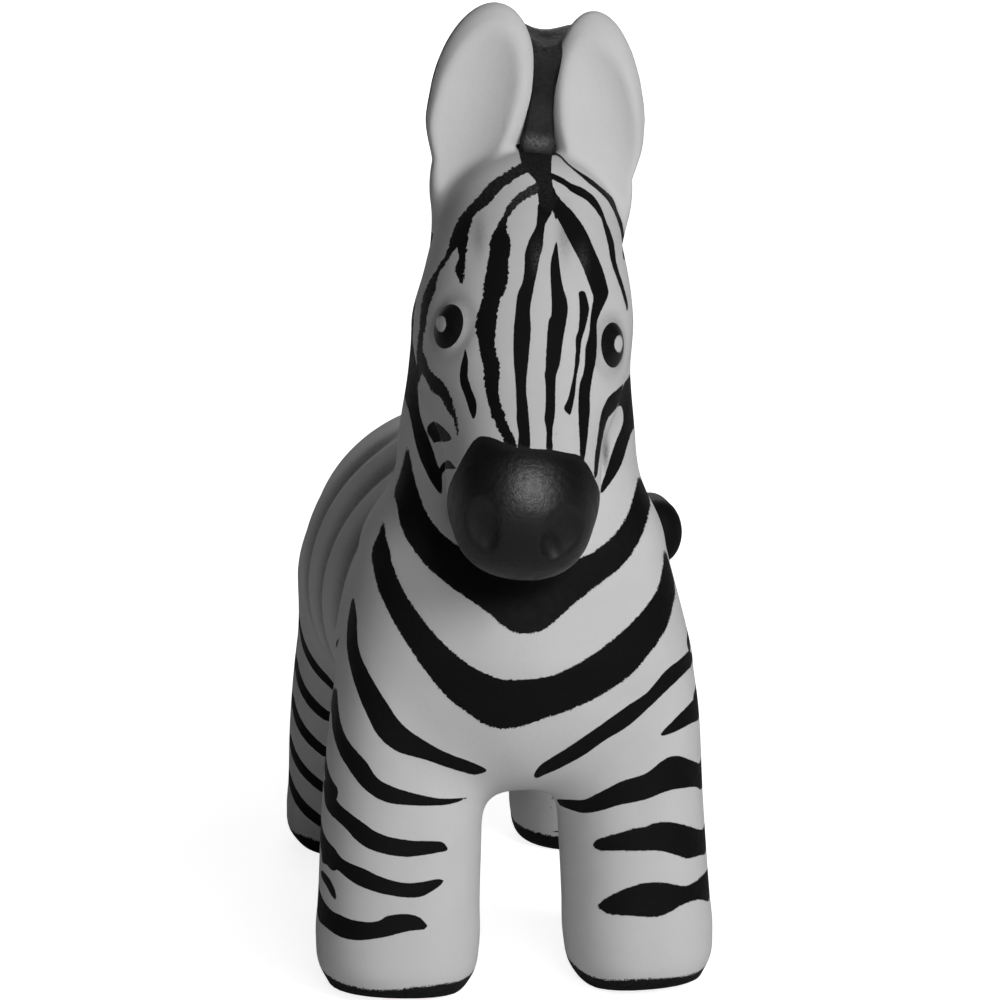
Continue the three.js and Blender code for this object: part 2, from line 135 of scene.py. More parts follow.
def limb(start, end, across, stations, rounds, power=2.0):
    """A member with a straight axis: at each point the distance across, measured in half sizes of the
    section there, and the distance past an end, measured in that end's rounding, are combined as the
    sides of a right triangle. Where that makes 1 is the skin."""
    start, end, across = (np.array(v, float) for v in (start, end, across))
    length = np.linalg.norm(end - start)
    axis = (end - start) / length
    wide = across - axis * (across @ axis)
    wide /= np.linalg.norm(wide)
    deep = np.cross(axis, wide)
    stations = np.array(stations, float) * np.array([length, 1.0, 1.0])
    reach = stations[:, 1:].max() + max(rounds) + FAR
    low, high = np.minimum(start, end) - reach, np.maximum(start, end) + reach

    def field(p):
        out = np.full(len(p), FAR)
        close = np.all((p > low) & (p < high), axis=1)
        q = p[close] - start
        along = q @ axis
        size = sections_at(along, stations)
        past = np.where(along < 0, -along / rounds[0], np.maximum(along - length, 0) / rounds[1])
        ratio = (np.abs(q @ wide / size[:, 0]) ** power
                 + np.abs(q @ deep / size[:, 1]) ** power) ** (1 / power)
        out[close] = np.minimum((np.hypot(ratio, past) - 1) * size.min(axis=1), FAR)
        return out
    field.start, field.axis, field.wide, field.deep = start, axis, wide, deep
    return field


def pebble(centre, axes, radii):
    """An oval: the length of the offset from its centre, measured in its three radii, less 1."""
    centre, axes, radii = np.array(centre, float), np.array(axes, float), np.array(radii, float)

    def field(p):
        return (np.linalg.norm((p - centre) @ axes.T / radii, axis=1) - 1) * radii.min()
    return field


def strand(points, radii):
    """A chain of rods from point to point: the distance to the nearest rod less its radius there."""
    points, radii = np.array(points, float), np.array(radii, float)

    def field(p):
        out = np.full(len(p), FAR)
        close = np.all((p > points.min(axis=0) - FAR) & (p < points.max(axis=0) + FAR), axis=1)
        q = p[close]
        for a, b, ra, rb in zip(points[:-1], points[1:], radii[:-1], radii[1:]):
            along = np.clip((q - a) @ (b - a) / ((b - a) @ (b - a)), 0, 1)
            rod = np.linalg.norm(q - a - along[:, None] * (b - a), axis=1) - ra - (rb - ra) * along
            out[close] = np.minimum(out[close], rod)
        return out
    return field


def join(a, b, soft):
    """The smaller of two fields, rounded off over a width where they are nearly equal."""
    share = np.clip(0.5 + 0.5 * (b - a) / soft, 0, 1)
    return b + (a - b) * share - soft * share * (1 - share)


def carve(a, b, soft):
    """Field a with b taken out of it: the join of the two, turned inside out."""
    return -join(-a, b, soft)


def unit(v):
    return np.array(v, float) / np.linalg.norm(v)

# %% [markdown]
# ## Body, neck and legs
# The body is a barrel that is broadest at the haunch. The neck rises out of its front as a stout cone,
# and four short legs spread a little. Each is one limb with a handful of stations, read off the outline
# of the photograph. The flank carries shallow moulded ribs, which are waves added to the field.

# %% Body, neck and legs
ACROSS = (1.0, 0.0, 0.0)
HANDS = (("left", 1), ("right", -1))
LEG_SQUARE, LEG_ENDS = 2.3, (6, .5)
FORELEG_WIDE = {"left": 7.6, "right": 8.3}
torso = limb((0, -16, 34.2), (0, 31, 32.3), ACROSS,
             [(0, 13.4, 14.2), (.27, 16.9, 15), (.55, 18.8, 15.9), (.8, 19.1, 16.9), (1, 17.5, 16.2)],
             (10.5, 9))
neck = limb((0, -9.5, 34), (1.6, -5, 65), ACROSS,
            [(0, 15.9, 15.5), (.32, 11.9, 14.7), (.62, 12.1, 13.2), (.85, 11.3, 12.2), (1, 11, 11.6)],
            (6, 8), 2.1)
legs = {}
for hand, side in HANDS:
    w = FORELEG_WIDE[hand]
    legs["front", hand] = limb(
        (side * 10.4, -12, 44), (side * 12.55, -17.9, 0), ACROSS,
        [(0, 5.0, 8), (.35, 7.4, 9.2), (.6, w - .2, 8.7), (.8, w - .1, 8.5), (.9, w, 8.5),
         (.96, w - .4, 8.3), (1, w - 1.4, 7.5)], LEG_ENDS, LEG_SQUARE)
    legs["rear", hand] = limb(
        (side * 10.6, 27.5, 30), (side * 12.5, 29, 0), ACROSS,
        [(0, 7.4, 9.4), (.35, 8.2, 9.4), (.6, 8.3, 8.8), (.8, 8.1, 8.2), (.9, 8.1, 8.2),
         (.96, 7.8, 7.9), (1, 6.8, 7.2)], LEG_ENDS, LEG_SQUARE)
tail = strand([(-4, 34.6, 43.4), (-.5, 38.4, 42.9), (4, 39.6, 41.9), (9, 38, 40.3), (13.5, 34.6, 38),
               (16.6, 30, 36.3), (18, 26, 35.8)], [2.6, 2.4, 2.1, 2, 2, 2, 2.1])
tuft = limb((18.1, 25.5, 36), (18.6, 16.5, 37.4), (0, 0, 1),
            [(0, 2.3, 2.1), (.5, 3.7, 2.6), (1, 3.5, 2.6)], (3, 3.2))

RIB_PLACES, RIB_WIDE, RIB_DEEP = (-2.0, 6.5, 15.0), 1.5, 0.45
RIB_MIDDLE, RIB_LEAN, RIB_BOW = 33, 0.22, 0.012
RIB_OUT_FROM, RIB_UP_FROM, RIB_FADE = 6, 20, 6
BODY_FILLET, TUFT_FILLET = 4.0, 0.8


def ribs(p):
    """How much of a rib's hollow a point is in, 0 to 1: bell curves across lines that lean back going up,
    on the flanks only."""
    up = p[:, 2] - RIB_MIDDLE
    line = p[:, 1] - RIB_LEAN * up - RIB_BOW * up ** 2
    hollow = sum(np.exp(-((line - place) / RIB_WIDE) ** 2) for place in RIB_PLACES)
    flank = (np.clip((np.abs(p[:, 0]) - RIB_OUT_FROM) / RIB_FADE, 0, 1)
             * np.clip((p[:, 2] - RIB_UP_FROM) / RIB_FADE, 0, 1))
    return hollow * flank * flank * (3 - 2 * flank)


def body_field(p):
    """Barrel, neck and legs, joined with one broad fillet."""
    barrel = torso(p) + RIB_DEEP * ribs(p)
    d = join(barrel, neck(p), BODY_FILLET)
    for leg in legs.values():
        d = join(d, leg(p), BODY_FILLET)
    return d


def tail_field(p):
    return join(tail(p), tuft(p), TUFT_FILLET)


probe = np.array([[0.0, 6.0, 33.0], [0.0, 6.0, 10.0]])
print("field at the belly's middle and between the legs, mm:", body_field(probe).round(2))

# %% [markdown]
# ## Head, muzzle and ears
# The head is held a little to one side, so its members are written upright and points are turned back
# into that upright frame before they are measured. The eyes are low domes in shallow sockets, the
# nostrils are soft dishes, and each ear is a broad leaf with a hollow front. All of these are ovals
# joined to the head or carved out of it.

# %% Head, muzzle and ears
HEAD_TILT = math.radians(7.5)
HEAD_PIVOT = np.array([1.4, 0.0, 62.0])
turn = np.array([[math.cos(HEAD_TILT), 0, math.sin(HEAD_TILT)], [0, 1, 0],
                 [-math.sin(HEAD_TILT), 0, math.cos(HEAD_TILT)]])


def upright(p):
    """Points of the tilted head, turned back about the pivot."""
    return (p - HEAD_PIVOT) @ turn + HEAD_PIVOT


def tilted(p):
    """Points of the upright head, turned to where the toy holds it."""
    return (np.array(p, float) - HEAD_PIVOT) @ turn.T + HEAD_PIVOT


skull = limb((.8, -3, 73), (.1, -30.5, 54), ACROSS,
             [(0, 9.6, 11), (.3, 10.8, 10.7), (.55, 9.8, 9.3), (.78, 7.9, 7.8), (1, 7, 7)],
             (8.5, 5), 2.15)
muzzle = limb((.4, -27, 55.0), (.2, -32, 52.1), ACROSS,
              [(0, 7.1, 7.0), (.5, 7.15, 6.9), (1, 6.8, 6.5)], (5.5, 5.1), 2.25)
ears = {"left": limb((7.74, -1.8, 80.5), (6.78, -.8, 86.3), (.985, .174, 0),
                     [(0, 3.2, 3.2), (.5, 4.45, 3.1), (1, 4.95, 2.9)], (7, 11.3)),
        "right": limb((-6.13, -1.8, 80.5), (-5.44, -.8, 87.7), (.985, -.174, 0),
                      [(0, 3.5, 3.2), (.5, 4.95, 3.1), (1, 5.2, 2.9)], (7, 9.6))}
EAR_DISH_WIDE, EAR_DISH_TALL, EAR_DISH_DEEP, EAR_DISH_SINK = 5.7, 13.0, 4.0, 2.2
EAR_DISH_LEAN, EAR_DISH_ASIDE, EAR_DISH_UP, EAR_HALF_THICK = 0.2, 0.5, 5.8, 3.1
ear_dishes = {}
for hand, side in HANDS:
    ear = ears[hand]
    forward = EAR_HALF_THICK + EAR_DISH_DEEP - EAR_DISH_SINK
    front = ear.start + ear.axis * EAR_DISH_UP - ear.deep * forward - EAR_DISH_ASIDE * ear.wide
    tall = unit(ear.axis - side * EAR_DISH_LEAN * ear.wide)
    ear_dishes[hand] = pebble(front, (np.cross(ear.deep, tall), ear.deep, tall),
                              (EAR_DISH_WIDE, EAR_DISH_DEEP, EAR_DISH_TALL))

# each oval on the face: place, outward direction, half sizes as seen from the front, lean in degrees
EYES = {"left": ((8.3, -21.0, 68.0), (.75, -.53, .40), (1.24, 2.5), 2),
        "right": ((-8.1, -19.95, 67.9), (-.80, -.49, .35), (1.55, 2.45), 10)}
NOSTRILS = {"left": ((3.95, -37.0, 52.4), (.36, -.92, -.14), (2.1, 2.9), 22),
            "right": ((-4.6, -36.2, 52.4), (-.53, -.81, -.22), (1.75, 3.0), -9)}
NOSTRIL_HOLES = {"left": ((2.9, -37.0, 50.9), (.30, -.92, -.25), (1.2, 1.4), 0),
                 "right": ((-3.9, -36.6, 50.9), (-.45, -.85, -.28), (.95, 1.5), -9)}


def seen_oval(place, normal, half_sizes, lean_deg):
    """Three directions and two radii of an oval on the face that looks, from the front, like one of the
    given half sizes leaning over to the right: its circle is carried back from the sheet on to the
    skin, and the skin's longest and shortest directions of it are taken."""
    out = unit(normal)
    along = unit(np.cross((0, 0, 1), out))
    skin = np.stack([along, np.cross(out, along)])
    nearer = VIEW_AWAY / (VIEW_AWAY - (tilted(place) - VIEW_AIM) @ to_viewer)
    seen = np.stack([view_right, view_up]) @ turn @ skin.T * nearer
    lean = math.radians(lean_deg)
    oval = np.array([[math.cos(lean), math.sin(lean)], [-math.sin(lean), math.cos(lean)]]) * half_sizes
    ways, radii, _ = np.linalg.svd(np.linalg.solve(seen, oval))
    ways[:, 1] *= np.sign(np.linalg.det(ways))
    return np.stack([*(ways.T @ skin), out]), radii


def spot(oval, grow, thick, lift):
    """An oval on the face as a pebble: grown by a share, given a thickness, its centre lifted off the
    skin."""
    axes, radii = seen_oval(*oval)
    return pebble(np.array(oval[0]) + axes[2] * lift, axes, (*(radii * grow), thick))


BALL_GROW, BALL_THICK, BALL_LIFT = 1.19, 1.5, -0.95
SOCKET_GROW, SOCKET_THICK, SOCKET_LIFT = 1.72, 1.8, 1.25
NOSTRIL_GROW, NOSTRIL_THICK, NOSTRIL_LIFT, HOLE_LIFT = 1.3, 1.9, 0.7, 0.45
MUZZLE_FILLET, SOCKET_EDGE, EYE_FILLET, NOSTRIL_EDGE = 1.5, 0.9, 0.5, 0.35
EAR_EDGE, EAR_FILLET, HEAD_FILLET, TAIL_FILLET, SOLE_EDGE = 0.5, 1.2, 2.5, 1.0, 0.6
sockets = [spot(EYES[hand], SOCKET_GROW, SOCKET_THICK, SOCKET_LIFT) for hand, _ in HANDS]
eyeballs = [spot(EYES[hand], BALL_GROW, BALL_THICK, BALL_LIFT) for hand, _ in HANDS]
nostril_dishes = [spot(oval[hand], NOSTRIL_GROW, NOSTRIL_THICK, lift)
                  for oval, lift in ((NOSTRILS, NOSTRIL_LIFT), (NOSTRIL_HOLES, HOLE_LIFT))
                  for hand, _ in HANDS]


def face_field(q):
    """Skull and muzzle joined, with sockets carved, eyeballs set in them, and the nostrils carved."""
    d = join(skull(q), muzzle(q), MUZZLE_FILLET)
    for socket, eyeball in zip(sockets, eyeballs):
        d = join(carve(d, socket(q), SOCKET_EDGE), eyeball(q), EYE_FILLET)
    for dish in nostril_dishes:
        d = carve(d, dish(q), NOSTRIL_EDGE)
    return d


def ear_field(q, hand):
    return carve(ears[hand](q), ear_dishes[hand](q), EAR_EDGE)


def head_field(q):
    """The face with each ear joined to it softly, and the two ears kept apart from each other."""
    d = face_field(q)
    return np.minimum(*(join(d, ear_field(q, hand), EAR_FILLET) for hand, _ in HANDS))


def skin_field(p):
    """The whole foam skin: body, head and tail joined, and cut off flat and softly at the table."""
    d = join(body_field(p), head_field(upright(p)), HEAD_FILLET)
    d = join(d, tail_field(p), TAIL_FILLET)
    return -join(-d, p[:, 2], SOLE_EDGE)


eye_middles = np.array([EYES[hand][0] for hand, _ in HANDS])
print("field at the two eyes' middles, mm:", head_field(eye_middles).round(2))

# %% [markdown]
# ## From the field to a skin
# Sculptors would use a voxel remesh here. Written out, the same idea is a net: the space is divided into
# small cells, each cell that the skin passes gets one point, and points of neighbouring cells are tied
# together wherever a cell edge crosses the skin. A few steps along the field's slope then pull every
# point exactly on to the skin, which leaves no staircase. Whole arrays do all of it, and a coarse first
# pass finds the few cells that matter.

# %% Skin net
SKIN_STEP = 0.4
COARSE, EXACT_REACH = 4, 2.2
SKIN_LOW, SKIN_HIGH = np.array([-22.5, -41.5, -1.3]), np.array([24.0, 44.0, 101.5])


def slope_of(field, p, h=0.01):
    """The field's value and its slope in x, y and z, from small steps along each."""
    d = field(p)
    return d, np.stack([(field(p + h * step) - d) / h for step in np.eye(3)], axis=1)


def settled(field, p, rounds=3, most=0.25):
    """Points moved along the slope by the field's value over the slope's length squared, a few times."""
    for _ in range(rounds):
        d, slope = slope_of(field, p)
        move = d / np.maximum((slope ** 2).sum(axis=1), 0.05)
        p = p - np.clip(move, -most, most)[:, None] * slope
    return p


def net(field, low, high, step):
    """Points and triangles of the skin where the field is zero, from cells of the given size."""
    count = np.ceil((high - low) / (step * COARSE)).astype(int) * COARSE + 1
    lines = [low[i] + step * np.arange(count[i]) for i in range(3)]
    rough_lines = np.meshgrid(*[line[::COARSE] for line in lines], indexing="ij")
    rough = field(np.stack(rough_lines, axis=-1).reshape(-1, 3)).reshape(rough_lines[0].shape)
    near = np.abs(rough) < EXACT_REACH * COARSE * step
    for i in range(3):
        changed = np.diff(np.sign(rough), axis=i) != 0
        near |= np.insert(changed, 0, False, axis=i)
        near |= np.insert(changed, changed.shape[i], False, axis=i)
    pick = np.ix_(*[(np.arange(n) + COARSE // 2) // COARSE for n in count])
    value, close = rough[pick], np.argwhere(near[pick])
    value[tuple(close.T)] = field(low + step * close)
    inside = value < 0
    corners = sum(inside[i:count[0] - 1 + i, j:count[1] - 1 + j, k:count[2] - 1 + k].astype(np.int8)
                  for i in (0, 1) for j in (0, 1) for k in (0, 1))
    passed = (corners > 0) & (corners < 8)
    number = np.full(passed.shape, -1)
    number[passed] = np.arange(passed.sum())
    points = settled(field, low + (np.argwhere(passed) + 0.5) * step, rounds=4, most=0.6 * step)
    quads = []
    steps = np.eye(3, dtype=int)
    for a in range(3):
        b, c = steps[(a + 1) % 3], steps[(a + 2) % 3]
        first, second = [slice(None)] * 3, [slice(None)] * 3
        first[a], second[a] = slice(0, -1), slice(1, None)
        at = np.argwhere(inside[tuple(first)] != inside[tuple(second)])
        quad = np.stack([number[tuple((at - b * i - c * j).T)]
                         for i, j in ((1, 1), (0, 1), (0, 0), (1, 0))], axis=1)
        outward = inside[tuple(at.T)]
        quads.append(np.where(outward[:, None], quad, quad[:, ::-1]))
    quads = np.concatenate(quads)
    a, b, c, d = points[quads].transpose(1, 0, 2)
    longer = np.linalg.norm(a - c, axis=1) > np.linalg.norm(b - d, axis=1)
    quads = np.where(longer[:, None], np.roll(quads, -1, axis=1), quads)
    return points, np.concatenate([quads[:, [0, 1, 2]], quads[:, [0, 2, 3]]])


skin_points, skin_faces = net(skin_field, SKIN_LOW, SKIN_HIGH, SKIN_STEP)
print("skin net:", len(skin_points), "points,", len(skin_faces), "triangles, tallest",
      skin_points[:, 2].max().round(2), "mm")

# %% [markdown]
# ## Stencils
# Toys like this are painted through stencils, mostly from the front, so the stripes are drawn the same
# way: flat outlines on a sheet that faces the camera, in millimetres from its middle, each smoothed into
# a curve. Every skin point is looked up on the sheet, and what is kept there is not a colour but its
# distance to the nearest stripe's edge. A distance stays smooth between points, so the material can draw
# the edge itself, crisp or misty, much finer than the net.

# %% Front stencil
FACE_STRIPES = {
    "forelock": [(1.8, 36.7), (1.9, 36.1), (2.2, 34.9), (2.8, 33.9), (3.7, 32.8), (3.8, 32),
        (4, 30.4), (3.8, 28.5), (4.7, 28.5), (5.4, 29.9), (5.8, 28.9), (6.2, 31), (5.7, 31.6),
        (5.4, 32.7), (5.3, 33.9), (5.3, 34.9), (5.5, 36.1), (5.5, 36.7)],
    "brow_right_outer": [(2.5, 34.9), (0.3, 33.6), (-1, 32.8), (-2.1, 31.5), (-3.3, 30.2),
        (-4.3, 28.9), (-5, 27.3), (-5.4, 25.8), (-6.4, 24), (-7.4, 22.4), (-7.9, 21.1), (-8.2, 19.5),
        (-8.3, 17.7), (-8.6, 15.5), (-8.6, 14.1), (-8.9, 12.8), (-8.5, 11.7), (-8, 12.9),
        (-7.1, 11.3), (-6.2, 10.6), (-5.5, 9.4), (-4.8, 8.3), (-4.4, 6.7), (-4.4, 8.3), (-4.8, 9.7),
        (-5.3, 11.2), (-6, 12.3), (-7.1, 13.3), (-7.7, 14.7), (-8, 15.9), (-7.7, 17.7), (-7.4, 19.5),
        (-7.1, 20.6), (-6.6, 21.9), (-6.4, 23.1), (-5.7, 24.3), (-5.1, 25.2), (-4.5, 26), (-4.3, 25),
        (-4.5, 24.3), (-4.6, 23.6), (-4.4, 23), (-3.9, 22.3), (-3.7, 23.1), (-3.6, 24.1),
        (-3.5, 25.1), (-3.3, 26.6), (-3.1, 27.9), (-2.6, 29.4), (-1.2, 30.5), (-0.4, 31.4),
        (0.1, 32), (1.5, 33.1), (3, 34)],
    "brow_right_inner": [(3.9, 32.8), (2.1, 31.7), (0.9, 30.4), (0.1, 29), (-1, 26.9), (-1.1, 25.7),
        (-1.3, 24.3), (-1.6, 22.5), (-1.7, 21.5), (-2, 20.1), (-2.4, 18.9), (-2.5, 17.7),
        (-2.2, 15.9), (-1.8, 14), (-1.6, 11.9), (-1.2, 9.9), (-0.7, 8.3), (0.3, 6.4), (0.6, 5.6),
        (1.7, 5.5), (1.3, 6.7), (1, 7.4), (0.6, 8.4), (0.2, 9.7), (-0.1, 10.6), (-0.1, 11.8),
        (0, 13.3), (-0.1, 14.1), (-0.5, 15.9), (-0.4, 17.6), (-0.2, 19.7), (0.1, 20.8), (0.5, 21.6),
        (0.8, 22.5), (0.9, 24.3), (1, 25.5), (1.1, 26.6), (0.7, 27.9), (0.8, 29), (1.5, 30.1),
        (2.7, 31), (4.1, 31.8)],
    "bridge_right": [(4, 30.6), (3.8, 28.5), (3, 26.8), (2.6, 25.5), (2.5, 23.7), (2.3, 22.4),
        (1.8, 21.2), (1.6, 19.4), (1.4, 17.2), (1.4, 14.5), (1.6, 12.1), (1.7, 10), (1.7, 8.3),
        (1.9, 6.8), (1.9, 5.2), (3, 5.1), (3.1, 6.8), (3, 8.3), (2.9, 9.5), (2.7, 11.4), (2.8, 13.1),
        (3, 15.2), (3.2, 17.6), (3.1, 19.4), (3.4, 21.4), (3.8, 23.4), (4.1, 25), (4.4, 26),
        (4.5, 27.2), (4.7, 28.5), (5.3, 29.8)],
    "bridge_middle": [(5.8, 26.9), (5.6, 26), (5.3, 24.9), (5.2, 23.1), (5.3, 21.1), (5.3, 19.1),
        (5, 18.4), (4.8, 16), (4.7, 13.5), (4.6, 13), (4.7, 11.8), (4.7, 10), (4.6, 8.3), (4.8, 7),
        (4.8, 5.2), (5.4, 5.1), (5.4, 7), (5.6, 8.3), (5.7, 9.5), (5.7, 11.2), (5.8, 12.8),
        (6.2, 14.3), (6.5, 16.4), (6.8, 18.1), (7, 19.6), (6.9, 20.7), (6.5, 22), (6.2, 23.7),
        (6, 25.6)],
    "bridge_left_thin": [(8.1, 21.2), (8.2, 21.5), (8.7, 21.5), (9, 20.8), (9.2, 19.8), (9.1, 19.1),
        (8.8, 17.7), (8.4, 16.4), (8.2, 14.3), (7.9, 12.6), (7.7, 10.7), (7.3, 8.9), (7, 8.9),
        (6.6, 9.5), (7, 10.4), (7.3, 11.6), (7.6, 13.1), (7.8, 15.2), (7.8, 16.5), (8.1, 17.7),
        (8.2, 19.4), (8.2, 20.5)],
    "brow_left_inner": [(5.3, 30.2), (5.9, 29.1), (7, 27), (8, 25.1), (8.7, 23.6), (9.2, 22.2),
        (9.6, 21), (9.5, 20), (9.3, 18.6), (9.2, 17.2), (8.8, 15.5), (8.7, 13.6), (8.2, 11.8),
        (8.1, 10), (8.1, 8.3), (8.2, 6.2), (8.3, 4.4), (8.7, 4.2), (9, 6.2), (9.2, 8.3), (9.3, 9.5),
        (9.3, 11.1), (9.6, 13.1), (9.9, 14.5), (10, 16.5), (10, 18.2), (10.3, 19.2), (10.8, 20.3),
        (11.2, 21.3), (11, 22.4), (10.6, 23.8), (9.7, 25.9), (8.7, 28.1), (7.5, 29.7), (6, 31.3),
        (5.5, 32.2)],
    "brow_left_middle": [(5.1, 33.8), (6.3, 33.3), (7.3, 32.7), (8.5, 32.2), (9.5, 31.5), (10, 30.9),
        (10.5, 30), (10.9, 28.9), (11.7, 26.8), (12, 24.6), (12.7, 22.2), (13.2, 20.3), (13.1, 19.5),
        (12.9, 20.3), (12.3, 22.2), (11.5, 24.4), (11.1, 26.5), (10.5, 28.9), (10.2, 29.4),
        (9.6, 30.2), (8.8, 31), (7.5, 31.7), (6.5, 32.5), (5.1, 33.3)],
    "brow_left_outer": [(5.2, 36.1), (6.2, 35.6), (7.2, 34.6), (8.2, 33.9), (9.4, 33.1),
        (10.5, 32.2), (11.6, 31.2), (12.1, 29.9), (12.5, 28.9), (12.8, 27.5), (12.9, 25), (12.7, 25),
        (12.5, 27.4), (12.1, 28.8), (11.7, 29.8), (11, 31), (10.1, 31.9), (9.1, 32.7), (8.1, 33.6),
        (7.1, 34.4), (6.1, 35.4), (5.2, 35.8)],
    "cheek_right": [(-3.6, 15.6), (-3.8, 14.8), (-4.1, 13.5), (-4.1, 12.1), (-3.7, 10.9),
        (-3.3, 9.7), (-2.8, 8.4), (-2.5, 8.8), (-2.4, 9.7), (-2.6, 10.6), (-3, 11.6), (-3.3, 12.8),
        (-3.3, 14.5)],
    "jowl_right": [(-7.4, 7.7), (-6.8, 8.1), (-6.1, 7.7), (-5.4, 7), (-5, 6.3), (-5.6, 6), (-6.4, 6),
        (-6.8, 5.9), (-7, 6.2), (-7.5, 7.1)],
    "lip_right": [(-6.3, 3), (-5.9, 3.8), (-5.3, 4.1), (-4.8, 3.6), (-4.5, 3.2), (-5.4, 3.2),
        (-5.9, 2.8), (-6.1, 2)],
    "jaw_right": [(-9.9, 14.2), (-9.2, 13.5), (-8.8, 12.6), (-8.5, 11.6), (-8.4, 10.3), (-8.2, 8.6),
        (-7.5, 6.7), (-6.9, 5.1), (-6.4, 3.5), (-6, 2.4), (-6, 0.8), (-6.1, 0.5), (-7.1, 1.9),
        (-8, 3.7), (-8.6, 5.4), (-9, 7.2), (-9.4, 9.1), (-9.9, 11.1)],
    "temple_right": [(-6.9, 27.2), (-7.8, 24.6), (-8.3, 22.7), (-8.6, 21.1), (-8.9, 18.8),
        (-9, 16.5), (-8.8, 15), (-8.6, 13.8), (-8.4, 12.6), (-8.6, 12), (-10.3, 11.2), (-10.4, 15.5),
        (-10.1, 18.6), (-9.5, 21.7), (-8.5, 24.6), (-7.4, 27.4)],
    "jaw_left": [(14, 14.4), (13.5, 13.8), (13.2, 12.6), (12.3, 11.6), (11.2, 10.6), (10.6, 9.4),
        (10.3, 8.3), (10.1, 6.8), (9.8, 4.6), (9.7, 2.5), (10, 2.5), (10.3, 4.6), (10.6, 6.5),
        (11.1, 8.3), (11.8, 9.2), (12.3, 9.7), (12.6, 9.4), (12.7, 8.3), (12.5, 7.4), (11.9, 5.9),
        (11.3, 4.1), (10.8, 2.5), (10.5, 1.7), (10.4, 0.6), (11.7, 2.2), (12.6, 3.9), (13.5, 6.8),
        (14, 8.3)],
    "muzzle": [(-3.1, 5.6), (-2.6, 6.2), (-1.9, 6.6), (-0.7, 6.4), (0.6, 5.8), (1.7, 5.4),
        (3.4, 5.3), (5.1, 5.2), (6.8, 4.9), (8.1, 4.6), (8.9, 3.8), (9.6, 2.6), (10.1, 0.7),
        (10.3, -1), (10.6, -3.6), (10.3, -6.2), (8.8, -8.8), (6, -9.9), (3.1, -10.3), (-0.5, -9.7),
        (-3.6, -7.8), (-5.4, -5.4), (-5.9, -2.7), (-5.6, -0.6), (-5.2, 1.4), (-4.4, 3.3)],
}
